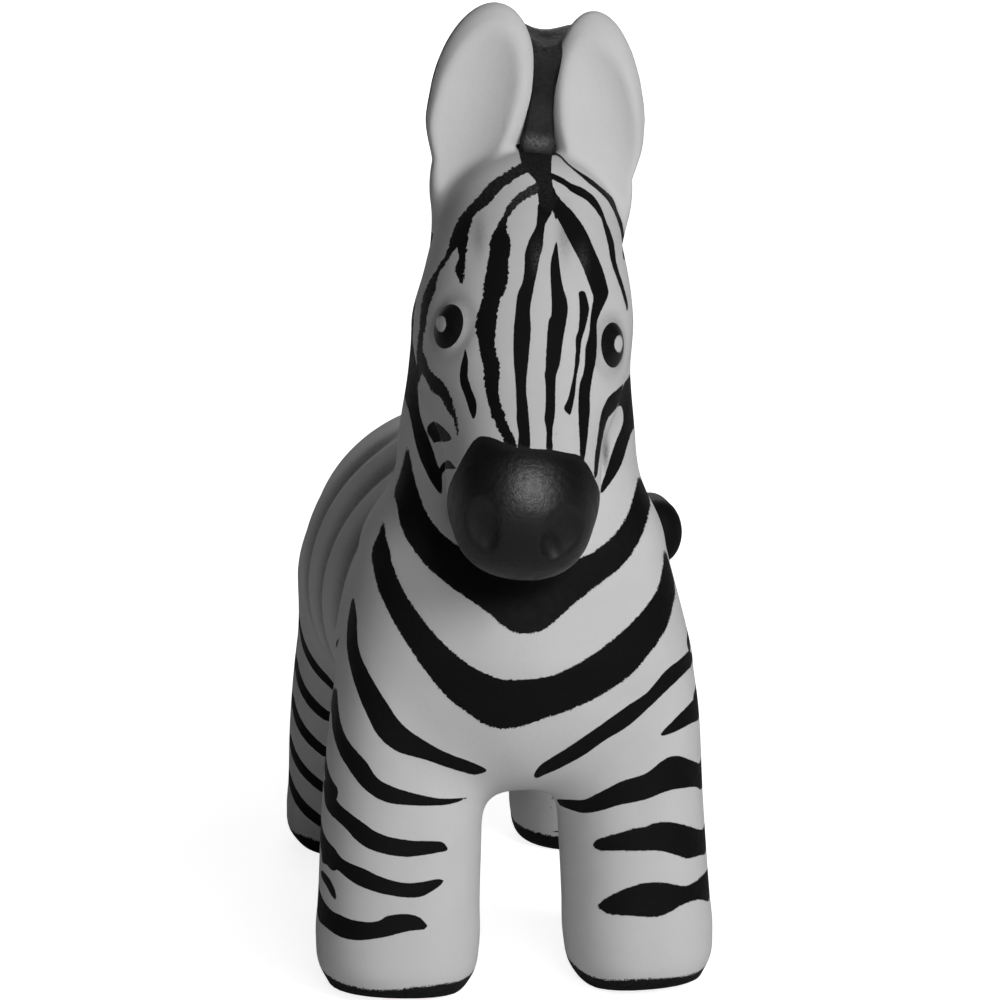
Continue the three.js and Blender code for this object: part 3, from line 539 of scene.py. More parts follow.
BODY_STRIPES = {
    "collar": [(-9.7, 5.1), (-10.4, 2.4), (-10.9, 0.8), (-10.6, -0.7), (-10.1, -3.1), (-8.8, -5.3),
        (-7.2, -7.2), (-5.3, -8.8), (-3, -10.4), (-0.9, -11.9), (0.2, -12.9), (1.4, -13.6),
        (3, -13.8), (4.6, -13.3), (5.8, -12.4), (8, -10.4), (10.6, -8.4), (12.5, -6.9), (14, -4.9),
        (15, -2.7), (15.4, -1.1), (15.8, 0.5), (15.8, 2.1), (14.9, 3.1), (14.4, 3.1), (14.2, 2.1),
        (13.7, 0.2), (13.1, -1.6), (12, -3.3), (10.6, -4.6), (9, -5.7), (6.2, -6.4), (3.1, -6.6),
        (0, -6.3), (-2.2, -5.8), (-4.5, -4.6), (-6.3, -3.1), (-7.5, -1.4), (-8.4, 0.8), (-9, 3.1),
        (-9.4, 5.1)],
    "chest": [(-12, -2.2), (-12.6, -3.6), (-13.2, -5.2), (-13.1, -6.9), (-12.6, -9.1),
        (-11.6, -11.3), (-10.5, -13.4), (-8.5, -16.5), (-6.9, -18.7), (-5.4, -20.4), (-3.3, -22),
        (-1.7, -23.1), (0.2, -23.6), (2.4, -23.3), (4.7, -22.5), (7.4, -21.6), (10.6, -20),
        (13.4, -18.1), (15.6, -15.6), (17.2, -13.1), (17.9, -10.6), (18.3, -8.5), (17.8, -6.4),
        (17.1, -4.9), (16.9, -5.4), (16.8, -6.8), (16.4, -8.7), (15.5, -10.4), (13.7, -12.5),
        (11.5, -14.5), (9, -16.3), (6.8, -17.5), (5, -18.2), (2.7, -18.5), (0.3, -18.5),
        (-2.1, -17.6), (-3.7, -16.6), (-5.8, -14.8), (-7.9, -12.4), (-9.6, -9.9), (-10.9, -7.2),
        (-11.3, -5.5), (-11.8, -3.5)],
    "shoulder_right_1": [(-15.2, -10), (-15.8, -13.5), (-15.6, -16.6), (-14.6, -20.1),
        (-13.5, -22.6), (-12.6, -24.3), (-10.7, -25.9), (-7.7, -26.8), (-5.4, -27.6), (-3, -28.3),
        (-1.9, -28.2), (-1.4, -27.8), (-3, -27), (-5.4, -26.1), (-8, -24.7), (-10.1, -23.1),
        (-11.8, -20.7), (-13.7, -17.5), (-14.6, -15.1), (-14.8, -11.9)],
    "shoulder_right_2": [(-16.5, -14), (-17.5, -15.4), (-18, -19.8), (-17.5, -22.6), (-16.7, -25.8),
        (-15.3, -28.2), (-13.8, -30), (-11.7, -31.2), (-9, -31.5), (-6, -31.5), (-4.1, -31.1),
        (-3.3, -30.7), (-5.2, -30.8), (-6.9, -30.7), (-10.1, -29.9), (-12.5, -28.8), (-13.8, -27),
        (-15.6, -24.9), (-16.5, -22.6), (-16.8, -19.2), (-16.7, -15.9)],
    "leg_right_1": [(-18.3, -28.3), (-18.5, -29.7), (-17.7, -32.1), (-16.1, -33.7), (-14.5, -35.4),
        (-12.7, -36.3), (-10.3, -36.8), (-8.3, -36.7), (-6.5, -36.4), (-5.4, -36.1), (-5.8, -35.4),
        (-6.5, -35.2), (-9.4, -35.1), (-12.2, -34.5), (-14.5, -33), (-16.5, -31.4), (-17.4, -29.8),
        (-17.8, -28.8)],
    "leg_right_2": [(-18.8, -34.5), (-18.4, -37.2), (-17.1, -37.9), (-15.1, -39.5), (-13, -40.4),
        (-10.6, -40.9), (-8.6, -41), (-7.4, -40.6), (-5.8, -39.4), (-6.5, -39.1), (-8, -39.4),
        (-9.8, -39.5), (-11.9, -39), (-14.1, -38), (-16.1, -37.1), (-17.2, -35.8), (-18.4, -34.7)],
    "leg_right_dash": [(-18.9, -37.8), (-18.5, -38.8), (-17.8, -40), (-17.2, -41.1), (-16.9, -41.1),
        (-17, -40.3), (-17.5, -39.2), (-18.3, -38.2)],
    "leg_right_3": [(-19.1, -41.1), (-19.1, -42.8), (-17.7, -44.3), (-16.1, -45.2), (-14.1, -45.4),
        (-11.5, -45), (-9.5, -44.5), (-7.5, -44.2), (-7.9, -43.4), (-8.6, -42.9), (-9.7, -42.7),
        (-11.6, -42.9), (-12.8, -43.5), (-14.9, -43.4), (-16.9, -42.6), (-18.4, -41.8)],
    "shoulder_left_1": [(20.4, -14.4), (19.8, -15.2), (18.7, -16.3), (17, -17.7), (15.2, -19.8),
        (12.9, -21.4), (10.1, -23.4), (7.8, -25), (5.6, -26.4), (4.1, -27.4), (3.5, -28.4),
        (3.8, -28.7), (4.7, -28.3), (6.3, -27.6), (8.7, -26.3), (11, -24.7), (13.4, -23.2),
        (15.8, -21), (18.2, -18.7), (20, -16.9), (20.8, -16)],
    "shoulder_left_2": [(20.8, -19.6), (20.3, -20.2), (19.1, -21.5), (17.7, -22.9), (16.5, -24.3),
        (18.1, -23.9), (19.4, -23.2), (20.3, -22.8), (21, -22.5)],
    "shoulder_left_3": [(21.3, -27.6), (20.6, -27.2), (19.6, -26.8), (18.5, -26.4), (17.5, -26.5),
        (16.6, -27), (15.5, -27.9), (14.6, -28.4), (12.6, -29), (10.2, -30.2), (8.7, -30.9),
        (7.2, -30.9), (5.7, -30.9), (6.1, -31.4), (6.8, -31.8), (8.6, -32.3), (10.2, -32.1),
        (12.6, -31.4), (15, -30.9), (17.3, -30), (19.1, -29.7), (20.2, -29.6), (21.3, -30.2)],
    "leg_left_1": [(21.6, -33.9), (20.6, -34), (19, -33.5), (17.3, -33.2), (16, -33.3), (15, -33.7),
        (13.7, -33.9), (11.7, -34.5), (10.3, -34.9), (9.6, -35.5), (10.1, -36.1), (11.3, -36.2),
        (13.4, -36.2), (16.3, -36.2), (17.8, -36.5), (19.4, -37), (20.4, -36.7), (21.6, -36.2)],
    "leg_left_2": [(21.8, -38), (21.1, -38.5), (20.2, -39.3), (19, -39.8), (17.3, -39.5),
        (15.8, -39.4), (14, -39.7), (12.2, -40.4), (10.9, -41.1), (10.2, -41.6), (10, -42),
        (10.8, -42.5), (11.9, -42.8), (15.8, -43), (17.2, -42.7), (19, -41.7), (20.5, -41.2),
        (21.8, -41.2)],
    "elbow_left": [(19, -11.4), (19.3, -10.9), (19.8, -10.9), (19.8, -14), (19.4, -13.7),
        (19.2, -12.9)],
}

# %% Stencil helpers
TINY, AT_ONCE = 1e-9, 4000
NOSE_SEEN_FROM, NOSE_SEEN_FULL, NOSE_LONG = 0.15, 0.45, 3.4


def outline_of(points, fine=5):
    """A closed curve through the points: cubic pieces whose slopes follow the neighbours on both
    sides."""
    b = np.array(points, float)
    a, c, d = np.roll(b, 1, axis=0), np.roll(b, -1, axis=0), np.roll(b, -2, axis=0)
    s = (np.arange(fine) / fine)[:, None, None]
    curve = 0.5 * (2 * b + (c - a) * s + (2 * a - 5 * b + 4 * c - d) * s ** 2
                   + (3 * b - a - 3 * c + d) * s ** 3)
    return curve.transpose(1, 0, 2).reshape(-1, 2)


def edge_distance(uv, outline, margin=2.0):
    """Distance to a closed outline on the sheet, negative inside: the nearest of its straight steps, with
    the side told by how many of them a ray to the right crosses."""
    out = np.full(len(uv), FAR)
    low, high = outline.min(axis=0) - margin, outline.max(axis=0) + margin
    close = np.flatnonzero(np.all((uv > low) & (uv < high), axis=1))
    a, b = outline, np.roll(outline, -1, axis=0)
    step = b - a
    for part in np.array_split(close, len(close) // AT_ONCE + 1):
        p = uv[part][:, None, :]
        square = np.maximum((step ** 2).sum(axis=-1), TINY)
        along = np.clip(((p - a) * step).sum(axis=-1) / square, 0, 1)
        gap = np.linalg.norm(p - a - along[..., None] * step, axis=-1).min(axis=1)
        spans = (a[:, 1] > p[..., 1]) != (b[:, 1] > p[..., 1])
        rise = np.where(np.abs(step[:, 1]) < TINY, TINY, step[:, 1])
        right = p[..., 0] < a[:, 0] + step[:, 0] * (p[..., 1] - a[:, 1]) / rise
        out[part] = np.where((spans & right).sum(axis=1) % 2 == 1, -gap, gap)
    return out


def on_sheet(p):
    """Where the line from the viewer to a point meets the sheet through the aim, in mm right and up."""
    away = p - viewer
    depth = -(away @ to_viewer)
    return np.stack([away @ view_right, away @ view_up], axis=1) * (VIEW_AWAY / depth)[:, None]


def smooth_step(x, low, high):
    s = np.clip((x - low) / (high - low), 0, 1)
    return s * s * (3 - 2 * s)


def facing_of(p, normals):
    """How squarely the skin faces the viewer: 1 straight on, 0 at the outline, negative behind."""
    to_eye = viewer - p
    return (normals * to_eye).sum(axis=1) / np.linalg.norm(to_eye, axis=1)


def nose_edge(p, normals):
    """Distance to the edge of the black nose: on the sheet where the skin is seen well, and to a plane
    across the muzzle where it turns away."""
    seen = smooth_step(facing_of(p, normals), NOSE_SEEN_FROM, NOSE_SEEN_FULL)
    behind = NOSE_LONG - (upright(p) - muzzle.start) @ muzzle.axis
    return seen * edge_distance(on_sheet(p), FACE_EDGES["muzzle"]) + (1 - seen) * behind


FACE_EDGES = {name: outline_of(points) for name, points in FACE_STRIPES.items()}
BODY_EDGES = {name: outline_of(points) for name, points in BODY_STRIPES.items()}
print("cut-outs on the front stencil:", len(FACE_EDGES), "for the face,", len(BODY_EDGES),
      "for chest and forelegs")

# %% [markdown]
# ## Cutting the skin where the foam bends
# The toy is one moulding, but its neck, ears and legs bend by themselves. Each bending stretch becomes a
# piece of its own, and its two ends match its neighbours point for point. So the one skin is cut along
# planes: a triangle that a plane crosses is split into three, with the new points on its edges.
# Elsewhere, where both sides move alike, faces are simply handed out by which member's field is the
# smaller, and the muzzle ends where its black paint does.

# %% Cuts
LEG_CUT, HOOF_CUT, EAR_CUT = 16.0, 2.4, 85.6
CUT_CLEAR = 1e-4
NECK_LOW = np.array([0.0, -8.5, 44.0])
NECK_UP = unit((0.0, -0.325, 0.945))
NECK_CUT = 12.0
EAR_UP = tilted(HEAD_PIVOT + (0, 0, 1)) - HEAD_PIVOT


def split(points, faces, at, normal):
    """Triangles that the plane crosses, split: the lone corner keeps a small triangle, and the two
    corners on the other side share a four-sided rest, cut along one diagonal."""
    height = (points - at) @ normal
    height = np.where(np.abs(height) < CUT_CLEAR, CUT_CLEAR, height)
    above = (height > 0)[faces]
    crossed = above.any(axis=1) & ~above.all(axis=1)
    cut, up = faces[crossed], above[crossed]
    lone = np.where(up.sum(axis=1) == 1, up.argmax(axis=1), (~up).argmax(axis=1))
    cut = np.take_along_axis(cut, (lone[:, None] + np.arange(3)) % 3, axis=1)
    edges = np.sort(np.concatenate([cut[:, [0, 1]], cut[:, [0, 2]]]), axis=1)
    edges, number = np.unique(edges, axis=0, return_inverse=True)
    h = height[edges]
    share = (h[:, 0] / (h[:, 0] - h[:, 1]))[:, None]
    made = points[edges[:, 0]] * (1 - share) + points[edges[:, 1]] * share
    first, second = (len(points) + number.reshape(2, -1))
    a, b, c = cut.T
    new = np.concatenate([np.stack(f, axis=1)
                          for f in ((a, first, second), (first, b, c), (first, c, second))])
    return np.concatenate([points, made]), np.concatenate([faces[~crossed], new])


LEVEL = np.array([0, 0, 1.0])
EAR_FOOT = tilted((0, 0, EAR_CUT))
for at, normal in ((LEVEL * LEG_CUT, LEVEL), (LEVEL * HOOF_CUT, LEVEL), (NECK_LOW, NECK_UP),
                   (NECK_LOW + NECK_UP * NECK_CUT, NECK_UP), (EAR_FOOT, EAR_UP)):
    skin_points, skin_faces = split(skin_points, skin_faces, at, normal)
print("after the cuts:", len(skin_points), "points,", len(skin_faces), "triangles")

# %% Pieces of the skin
def mostly(flags):
    """True where at least two of a triangle's three corners are."""
    return flags[skin_faces].sum(axis=1) >= 2


SNOUT_BACK, NOSE_RIM = -18.0, 0.25
CHIN_FRONT, CHIN_LOW, EARS_MIDDLE = -24, 40, 0.5
q = upright(skin_points)
body_d, tail_d, tuft_d = body_field(skin_points), tail(skin_points), tuft(skin_points)
face_d = face_field(q)
ear_d = {hand: ear_field(q, hand) for hand, _ in HANDS}
ears_d = np.minimum(ear_d["left"], ear_d["right"])
of_head = mostly(np.minimum(face_d, ears_d) < body_d)
of_ear = mostly(ears_d < face_d)
snout = q[:, 1] < SNOUT_BACK
snout_normals = slope_of(skin_field, skin_points[snout])[1]
snout_normals /= np.linalg.norm(snout_normals, axis=1)[:, None]
nose = np.full(len(q), FAR)
nose[snout] = nose_edge(skin_points[snout], snout_normals)
of_muzzle = mostly(nose < NOSE_RIM)
of_tail = mostly(np.minimum(tail_d, tuft_d) < np.minimum(body_d, face_d))
of_tuft = mostly(tuft_d < tail_d)
middle = skin_points[skin_faces].mean(axis=1)
up_neck = (middle - NECK_LOW) @ NECK_UP
up_ear = (middle - EAR_FOOT) @ EAR_UP

owner = np.full(len(skin_faces), "torso", dtype="U20")
owner[up_neck > 0] = "neck"
owner[(up_neck > NECK_CUT) | (of_head & (up_neck > 0))] = "head"
owner[of_head & of_muzzle & (up_neck > 0)] = "muzzle"
chin = (middle[:, 1] < CHIN_FRONT) & (up_neck <= 0) & (middle[:, 2] > CHIN_LOW)
owner[of_head & chin] = "muzzle"
for hand, side in HANDS:
    this_side = side * (upright(middle)[:, 0] - EARS_MIDDLE) > 0
    owner[of_ear & (up_ear > 0) & this_side] = f"ear_{hand}"
    for end, where in (("front", -1), ("rear", 1)):
        here = (side * middle[:, 0] > 0) & (where * (middle[:, 1] - SOLES_MIDDLE[1]) > 0)
        owner[here & (middle[:, 2] < LEG_CUT)] = f"leg_{end}_{hand}"
        owner[here & (middle[:, 2] < HOOF_CUT)] = f"hoof_{end}_{hand}"
owner[of_tail & (owner == "torso")] = "tail"
owner[of_tuft & (owner == "tail")] = "tail_tuft"
names, counts = np.unique(owner, return_counts=True)
print("triangles of each piece:", dict(zip(names.tolist(), counts.tolist())))

# %% [markdown]
# Each piece leaves the cut with open ends. A skirt of triangles goes from each rim straight down into the
# foam, and a fan to the rim's middle closes it there, hidden. The head carries the finest paint, so its
# triangles are split into four first.

# %% Closing a piece
RIM_SINK, CHAIN_ROUNDS = 1.2, 4000
FINE_PIECES = (("head", "muzzle"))


def finer(points, faces):
    """Each triangle split into four at the middles of its edges, and the new points settled on the
    skin."""
    ends = np.sort(faces[:, [0, 1, 1, 2, 2, 0]].reshape(-1, 2), axis=1)
    edges, number = np.unique(ends, axis=0, return_inverse=True)
    ab, bc, ca = (len(points) + number.reshape(-1, 3)).T
    a, b, c = faces.T
    made = settled(skin_field, points[edges].mean(axis=1), rounds=2)
    quarters = [np.stack(f, axis=1)
                for f in ((a, ab, ca), (ab, b, bc), (ca, bc, c), (ab, bc, ca))]
    return np.concatenate([points, made]), np.concatenate(quarters)


def open_rims(faces, count):
    """Directed edges that only one triangle has, turned round, so that a triangle on them fits."""
    edges = faces[:, [0, 1, 1, 2, 2, 0]].reshape(-1, 2)
    key, back = edges[:, 0] * count + edges[:, 1], edges[:, 1] * count + edges[:, 0]
    return edges[~np.isin(back, key)][:, ::-1]


def closed(points, faces):
    """Rims found as chains of open edges. Each is sunk against the skin's slope, tied to its sunken copy
    by two triangles to an edge, and closed there by a fan to the middle."""
    rim = open_rims(faces, len(points))
    chain = np.arange(len(points))
    for _ in range(CHAIN_ROUNDS):
        lower = chain.copy()
        np.minimum.at(lower, rim[:, 0], chain[rim[:, 1]])
        np.minimum.at(lower, rim[:, 1], chain[rim[:, 0]])
        lower = lower[lower]
        if np.array_equal(lower, chain):
            break
        chain = lower
    loops, number = np.unique(chain[rim[:, 0]], return_inverse=True)
    edge, place = np.unique(rim, return_inverse=True)
    slope = slope_of(skin_field, points[edge])[1]
    sunk = points[edge] - RIM_SINK * slope / np.linalg.norm(slope, axis=1)[:, None]
    place = place.reshape(rim.shape)
    low = len(points) + place
    middles = np.stack([sunk[place[number == i, 0]].mean(axis=0) for i in range(len(loops))])
    skirt = np.concatenate([np.column_stack([rim, low[:, 1]]),
                            np.column_stack([rim[:, 0], low[:, 1], low[:, 0]])])
    fans = np.column_stack([low, len(points) + len(sunk) + number])
    return np.concatenate([points, sunk, middles]), np.concatenate([faces, skirt, fans]), len(loops)


skins = {}
for name in names:
    faces = skin_faces[owner == name]
    used, faces = np.unique(faces, return_inverse=True)
    points, faces = skin_points[used], faces.reshape(-1, 3)
    if name in FINE_PIECES:
        points, faces = finer(points, faces)
    shown = len(points)
    points, faces, rims = closed(points, faces)
    normals = slope_of(skin_field, points)[1]
    normals /= np.linalg.norm(normals, axis=1)[:, None]
    skins[str(name)] = (points, faces, normals)
    print(f"{name}: {shown} points, {len(faces)} triangles, {rims} rims closed,",
          len(open_rims(faces, len(points))), "edges still open")

# %% [markdown]
# The stripes of the legs go on round their outer sides, where the front stencil doesn't reach. Those are
# painted through a stencil wrapped round the leg: its two directions are the angle from the leg's front
# towards its outer side, and the height above the table. A band is a middle line with a width at each
# of its stations: degrees, height, width.

# %% Wrapped stencils
LEG_ROUND = math.radians(8.3)
FORELEG_STRIPES = {
    "left": [[(58, 34.8, 1.4), (95, 36.4, 1.0), (125, 37.6, .2)],
             [(58, 29, 2.4), (95, 29.9, 2.1), (130, 31, 1.2), (155, 31.6, .2)],
             [(58, 21.7, 2.3), (95, 22.4, 2.2), (130, 23.6, 1.4), (158, 24.4, .2)],
             [(58, 15, 2.0), (95, 15.6, 2.0), (135, 16.6, 1.2), (160, 17.2, .2)],
             [(58, 10.4, 2.5), (95, 10.2, 2.2), (135, 9.6, 1.3), (162, 9.2, .2)]],
    "right": [[(58, 21.2, 1.2), (95, 22.8, 1.8), (130, 24.2, 1.2), (155, 25, .2)],
              [(58, 14.4, 2.4), (95, 15.8, 2.2), (135, 17, 1.2), (160, 17.6, .2)],
              [(58, 8.4, 1.7), (95, 9.4, 2.1), (135, 10.4, 1.3), (162, 10.8, .2)]]}
HIND_LOW = (20.6, 16.2, 12.0, 7.7, 3.7)
HIND_HIGH = (25.6, 20.4, 16.2, 11.6, 7.3)
HIND_FROM = (20, -30, -30, -30, -30)
HIND_STRIPES = [[(start, low - 1.4, .3), (35, low + .6, 1.2), (80, high, 1.6), (130, high + 1.4, 1.4),
                 (172, high + 1.9, .3)] for start, low, high in zip(HIND_FROM, HIND_LOW, HIND_HIGH)]


def on_leg(p, leg, side):
    """A point's place on a sheet wrapped round a leg: arc from the front towards the outer side,
    height."""
    off = p - leg.start - leg.axis * ((p[:, 2] - leg.start[2]) / leg.axis[2])[:, None]
    angle = np.degrees(np.arctan2(side * off[:, 0], -off[:, 1]))
    return np.stack([angle * LEG_ROUND, p[:, 2]], axis=1)


def band_distance(uv, stations):
    """Distance to a band on the wrapped sheet: to the nearest stretch of its middle line, less half the
    width there."""
    line = np.array(stations, float) * np.array([LEG_ROUND, 1, 1])
    out = np.full(len(uv), FAR)
    for a, b in zip(line[:-1], line[1:]):
        step = b[:2] - a[:2]
        along = np.clip((uv - a[:2]) @ step / (step @ step), 0, 1)
        half_wide = (a[2] + (b[2] - a[2]) * along) / 2
        gap = np.linalg.norm(uv - a[:2] - along[:, None] * step, axis=1)
        out = np.minimum(out, gap - half_wide)
    return out


print("bands round each hind leg:", len(HIND_STRIPES))

# %% [markdown]
# Now every skin point gets four things: its distance to the paint's edge, how that edge is (misty,
# ragged, thinly covered, and on two brow stripes greyed as a painted sheen), a grey of mist and painted
# shade, for smudges on the brow and painted shade in the flank's rib hollows and round the eyes, and how
# satin the black is, which is highest on the muzzle. Where the skin turns away from the front, the
# stripes are made narrower until they end, as spray through a stencil does.

# %% Paint on the skin
EDGE_WAYS = {"collar": (.5, .4, 0), "chest": (.5, .4, 0), "brow_right_outer": (.1, .9, .3),
             "brow_right_inner": (.1, .95, .7), "leg_left_1": (.35, .3, 0), "leg_left_2": (.35, .3, 0),
             "forelock": (.1, .2, .2), "hoof": (.9, .5, .1)}
PLAIN_EDGE, TUFT_EDGE, EAR_BACK_EDGE = (.06, .12, 0), (.3, .6, 0), (.1, .3, 0)
ON_NECK = ("jaw_right", "jaw_left", "jowl_right", "lip_right", "temple_right")
DRY_FROM, DRY_FULL = 27.5, 32.5
# two spots where the black of brow stripes is greyed as a painted sheen: place on the sheet, size,
# strength
SHEEN_SPOTS = (((3.9, 24.9), (.6, 1.7), .7), ((8.5, 24.7), (.6, 1.6), .6))
SOFT_SPOTS = (((-2.15, 27.2), (.7, 2.3), .42), ((6.7, 27.6), (.75, 2.4), .5),
              ((10.9, 4.9), (.35, 1.6), .8))
FACE_TURNED, FACE_NARROWS, TEMPLE_TURNED, TEMPLE_NARROWS = 0.08, 6.0, 0.02, 5.0
BODY_TURNED, BODY_NARROWS, BODY_HIDDEN, BODY_ENDS = 0.22, 2.5, -0.05, 25.0
BODY_BACK, FORELEG_BACK, BACK_NARROWS = -3, -5, 2.0
LEG_INSIDE, LEG_TOP = 2, 40
TUFT_SHARE, TUFT_SHRINK = 0.5, 0.15
# grey of the painted shade in the flank's rib hollows
RIB_SHADE = 0.6
HOOF_BAND = 2.0
EAR_BACK_TURN, EAR_BACK_LOW, EAR_BACK_BOW, EAR_NEAR, EAR_ENDS = 0.14, 79.0, 0.17, 0.5, 4
SATIN_EDGE, DULL_NOSTRIL = 1.2, 2.2
SOCKET_SHADE, SOCKET_REACH = 0.28, 0.5


def past(value, limit):
    """How far a value lies above a limit, or 0."""
    return np.maximum(value - limit, 0)


def paint_on(name, p, normals):
    """The nearest of all the paint's edges at each point, with that edge's way, the mist with painted
    shade, and the satin."""
    paint = np.full(len(p), FAR)
    way = np.tile(PLAIN_EDGE, (len(p), 1)).astype(float)
    mist_and_shade, satin = np.zeros(len(p)), np.zeros(len(p))

    def lay(distance, edge_way=PLAIN_EDGE):
        nearer = distance < paint
        paint[nearer] = distance[nearer]
        way[nearer] = edge_way

    sheet = on_sheet(p)
    facing = facing_of(p, normals)
    face_end = FACE_NARROWS * past(FACE_TURNED, facing)
    temple_end = TEMPLE_NARROWS * past(TEMPLE_TURNED, facing)
    kind = name.split("_")[0]
    if kind in ("head", "muzzle", "neck"):
        for stripe, outline in FACE_EDGES.items():
            if stripe != "muzzle" and (kind != "neck" or stripe in ON_NECK):
                ending = temple_end if stripe == "temple_right" else face_end
                lay(edge_distance(sheet, outline) + ending, EDGE_WAYS.get(stripe, PLAIN_EDGE))
        way[:, 2] *= smooth_step(sheet[:, 1], DRY_FROM, DRY_FULL)
        # The first spots grey the black as a painted sheen; the second lay smudges of grey mist on the
        # white.
        for spots, kept in ((SHEEN_SPOTS, way[:, 2]), (SOFT_SPOTS, mist_and_shade)):
            for at, size, strength in spots:
                bell = strength * np.exp(-(((sheet - at) / size) ** 2).sum(axis=1))
                np.maximum(kept, bell * (facing > 0), out=kept)
    if kind in ("head", "muzzle"):
        nose = nose_edge(p, normals)
        lay(nose)
        q = upright(p)
        satin = smooth_step(-nose, 0, SATIN_EDGE)
        for place, *_ in NOSTRIL_HOLES.values():
            satin *= 1 - np.exp(-((q - place) ** 2).sum(axis=1) / DULL_NOSTRIL ** 2)
        # The grey round each eyeball is painted shade in its socket.
        off_eye = past(np.minimum(*(eyeball(q) for eyeball in eyeballs)), 0)
        mist_and_shade = np.maximum(mist_and_shade, SOCKET_SHADE * np.exp(-(off_eye / SOCKET_REACH) ** 2))
    if kind in ("torso", "neck", "leg") and "rear" not in name:
        ending = (BODY_NARROWS * past(BODY_TURNED, facing) + BODY_ENDS * past(BODY_HIDDEN, facing)
                  + BACK_NARROWS * past(p[:, 1], BODY_BACK))
        for stripe, outline in BODY_EDGES.items():
            lay(edge_distance(sheet, outline) + ending, EDGE_WAYS.get(stripe, PLAIN_EDGE))
    if kind in ("torso", "leg", "neck"):
        for (end, leg_hand), leg in legs.items():
            side = dict(HANDS)[leg_hand]
            front_half = p[:, 1] < SOLES_MIDDLE[1]
            here = (side * p[:, 0] > LEG_INSIDE) & (front_half == (end == "front")) & (p[:, 2] < LEG_TOP)
            bands = FORELEG_STRIPES[leg_hand] if end == "front" else HIND_STRIPES
            if here.any():
                wrapped = on_leg(p[here], leg, side)
                nearest = np.full(len(p), FAR)
                nearest[here] = np.min([band_distance(wrapped, band) for band in bands], axis=0)
                if end == "front":
                    nearest += BACK_NARROWS * past(p[:, 1], FORELEG_BACK)
                lay(nearest)
    if kind in ("torso", "tail"):
        others = np.minimum(body_field(p), tail(p))
        lay(TUFT_SHARE * (tuft(p) - others) + TUFT_SHRINK, TUFT_EDGE)
    # The grey in the flank's rib hollows is painted shade.
    if kind == "torso":
        mist_and_shade = np.maximum(mist_and_shade, RIB_SHADE * np.clip(ribs(p), 0, 1))
    if kind in ("ear", "head"):
        q = upright(p)
        for ear_hand, side in HANDS:
            ear = ears[ear_hand]
            back = (q - ear.start) @ (ear.deep + side * EAR_BACK_TURN * ear.wide)
            ear_d = ear_field(q, ear_hand)
            off = past(ear_d, 0) + past(ear_d, face_field(q))
            foot = EAR_BACK_LOW + EAR_BACK_BOW * ((q - ear.start) @ ear.wide) ** 2
            lay(np.maximum(-back, foot - q[:, 2]) + EAR_ENDS * past(off, EAR_NEAR), EAR_BACK_EDGE)
    if kind == "hoof":
        wave = (0.16 * np.sin(0.55 * p[:, 0] + 1.1 * np.sin(0.4 * p[:, 1]))
                + 0.1 * np.sin(0.9 * p[:, 1]))
        lay(p[:, 2] - HOOF_BAND - wave, EDGE_WAYS["hoof"])
    return paint, way, mist_and_shade, satin


painted = {name: paint_on(name, points, normals) for name, (points, _, normals) in skins.items()}
print("black share of each piece's points:",
      {name: float((paint < 0).mean().round(2)) for name, (paint, *_) in painted.items()})

# %% [markdown]
# ## Finishes
# The coat is a thin skin of matt white paint on foam: almost smooth, with a fine orange peel, small
# shade changes and a few specks. The black is dull on the stripes and satin on the muzzle. Both live in
# one material, because the real coat and stripes lie on one skin: the stripe's edge is where the stored
# distance, disturbed by noise, passes zero.

# %% Node helpers
def new_material(name):
    material = bpy.data.materials.new(name)
    material.use_nodes = True
    return material, material.node_tree, material.node_tree.nodes["Principled BSDF"]


def add(tree, kind, inputs=(), **settings):
    """A node with its settings and inputs. An input is a value, or an output socket to link from."""
    node = tree.nodes.new(kind)
    for key, value in settings.items():
        setattr(node, key, value)
    for key, value in dict(inputs).items():
        if isinstance(value, bpy.types.NodeSocket):
            tree.links.new(value, node.inputs[key])
        else:
            node.inputs[key].default_value = value
    return node


def calc(tree, operation, a, b=0.0, c=0.0):
    return add(tree, "ShaderNodeMath", {0: a, 1: b, 2: c}, operation=operation).outputs[0]


def blend_colour(tree, share, a, b):
    return add(tree, "ShaderNodeMix", {0: share, 6: a, 7: b}, data_type="RGBA").outputs[2]


def span(tree, value, low, high, to_low=0.0, to_high=1.0):
    """A value from one range carried to another with soft ends, and held there."""
    ends = {"Value": value, "From Min": low, "From Max": high, "To Min": to_low, "To Max": to_high}
    return add(tree, "ShaderNodeMapRange", ends, interpolation_type="SMOOTHSTEP").outputs["Result"]


def grain(tree, size_mm, detail=2.0, rough=0.5, centred=False):
    """Noise on Object coordinates with features of about the given size; centred runs from -0.5 to
    0.5."""
    coords = add(tree, "ShaderNodeTexCoord").outputs["Object"]
    noise = add(tree, "ShaderNodeTexNoise", {"Vector": coords, "Scale": 1.0 / (size_mm * MM),
                                             "Detail": detail, "Roughness": rough})
    return calc(tree, "SUBTRACT", noise.outputs["Fac"], 0.5) if centred else noise.outputs["Fac"]


def stored(tree, name):
    return add(tree, "ShaderNodeAttribute", attribute_name=name)


def mix(tree, share, a, b):
    return add(tree, "ShaderNodeMix", {0: share, 2: a, 3: b}, data_type="FLOAT").outputs[0]


def grey(value):
    return (value, value, value, 1.0)


def uneven(tree, size_mm, low, high):
    """A roughness that wanders between two values."""
    return span(tree, grain(tree, size_mm, 3.0), 0.2, 0.8, low, high)


def pebbled(tree, shader, height, strength, high_mm):
    """A bump of the given height in millimetres on the shader's normal."""
    bump = add(tree, "ShaderNodeBump", {"Strength": strength, "Distance": high_mm * MM, "Height": height})
    tree.links.new(bump.outputs["Normal"], shader.inputs["Normal"])

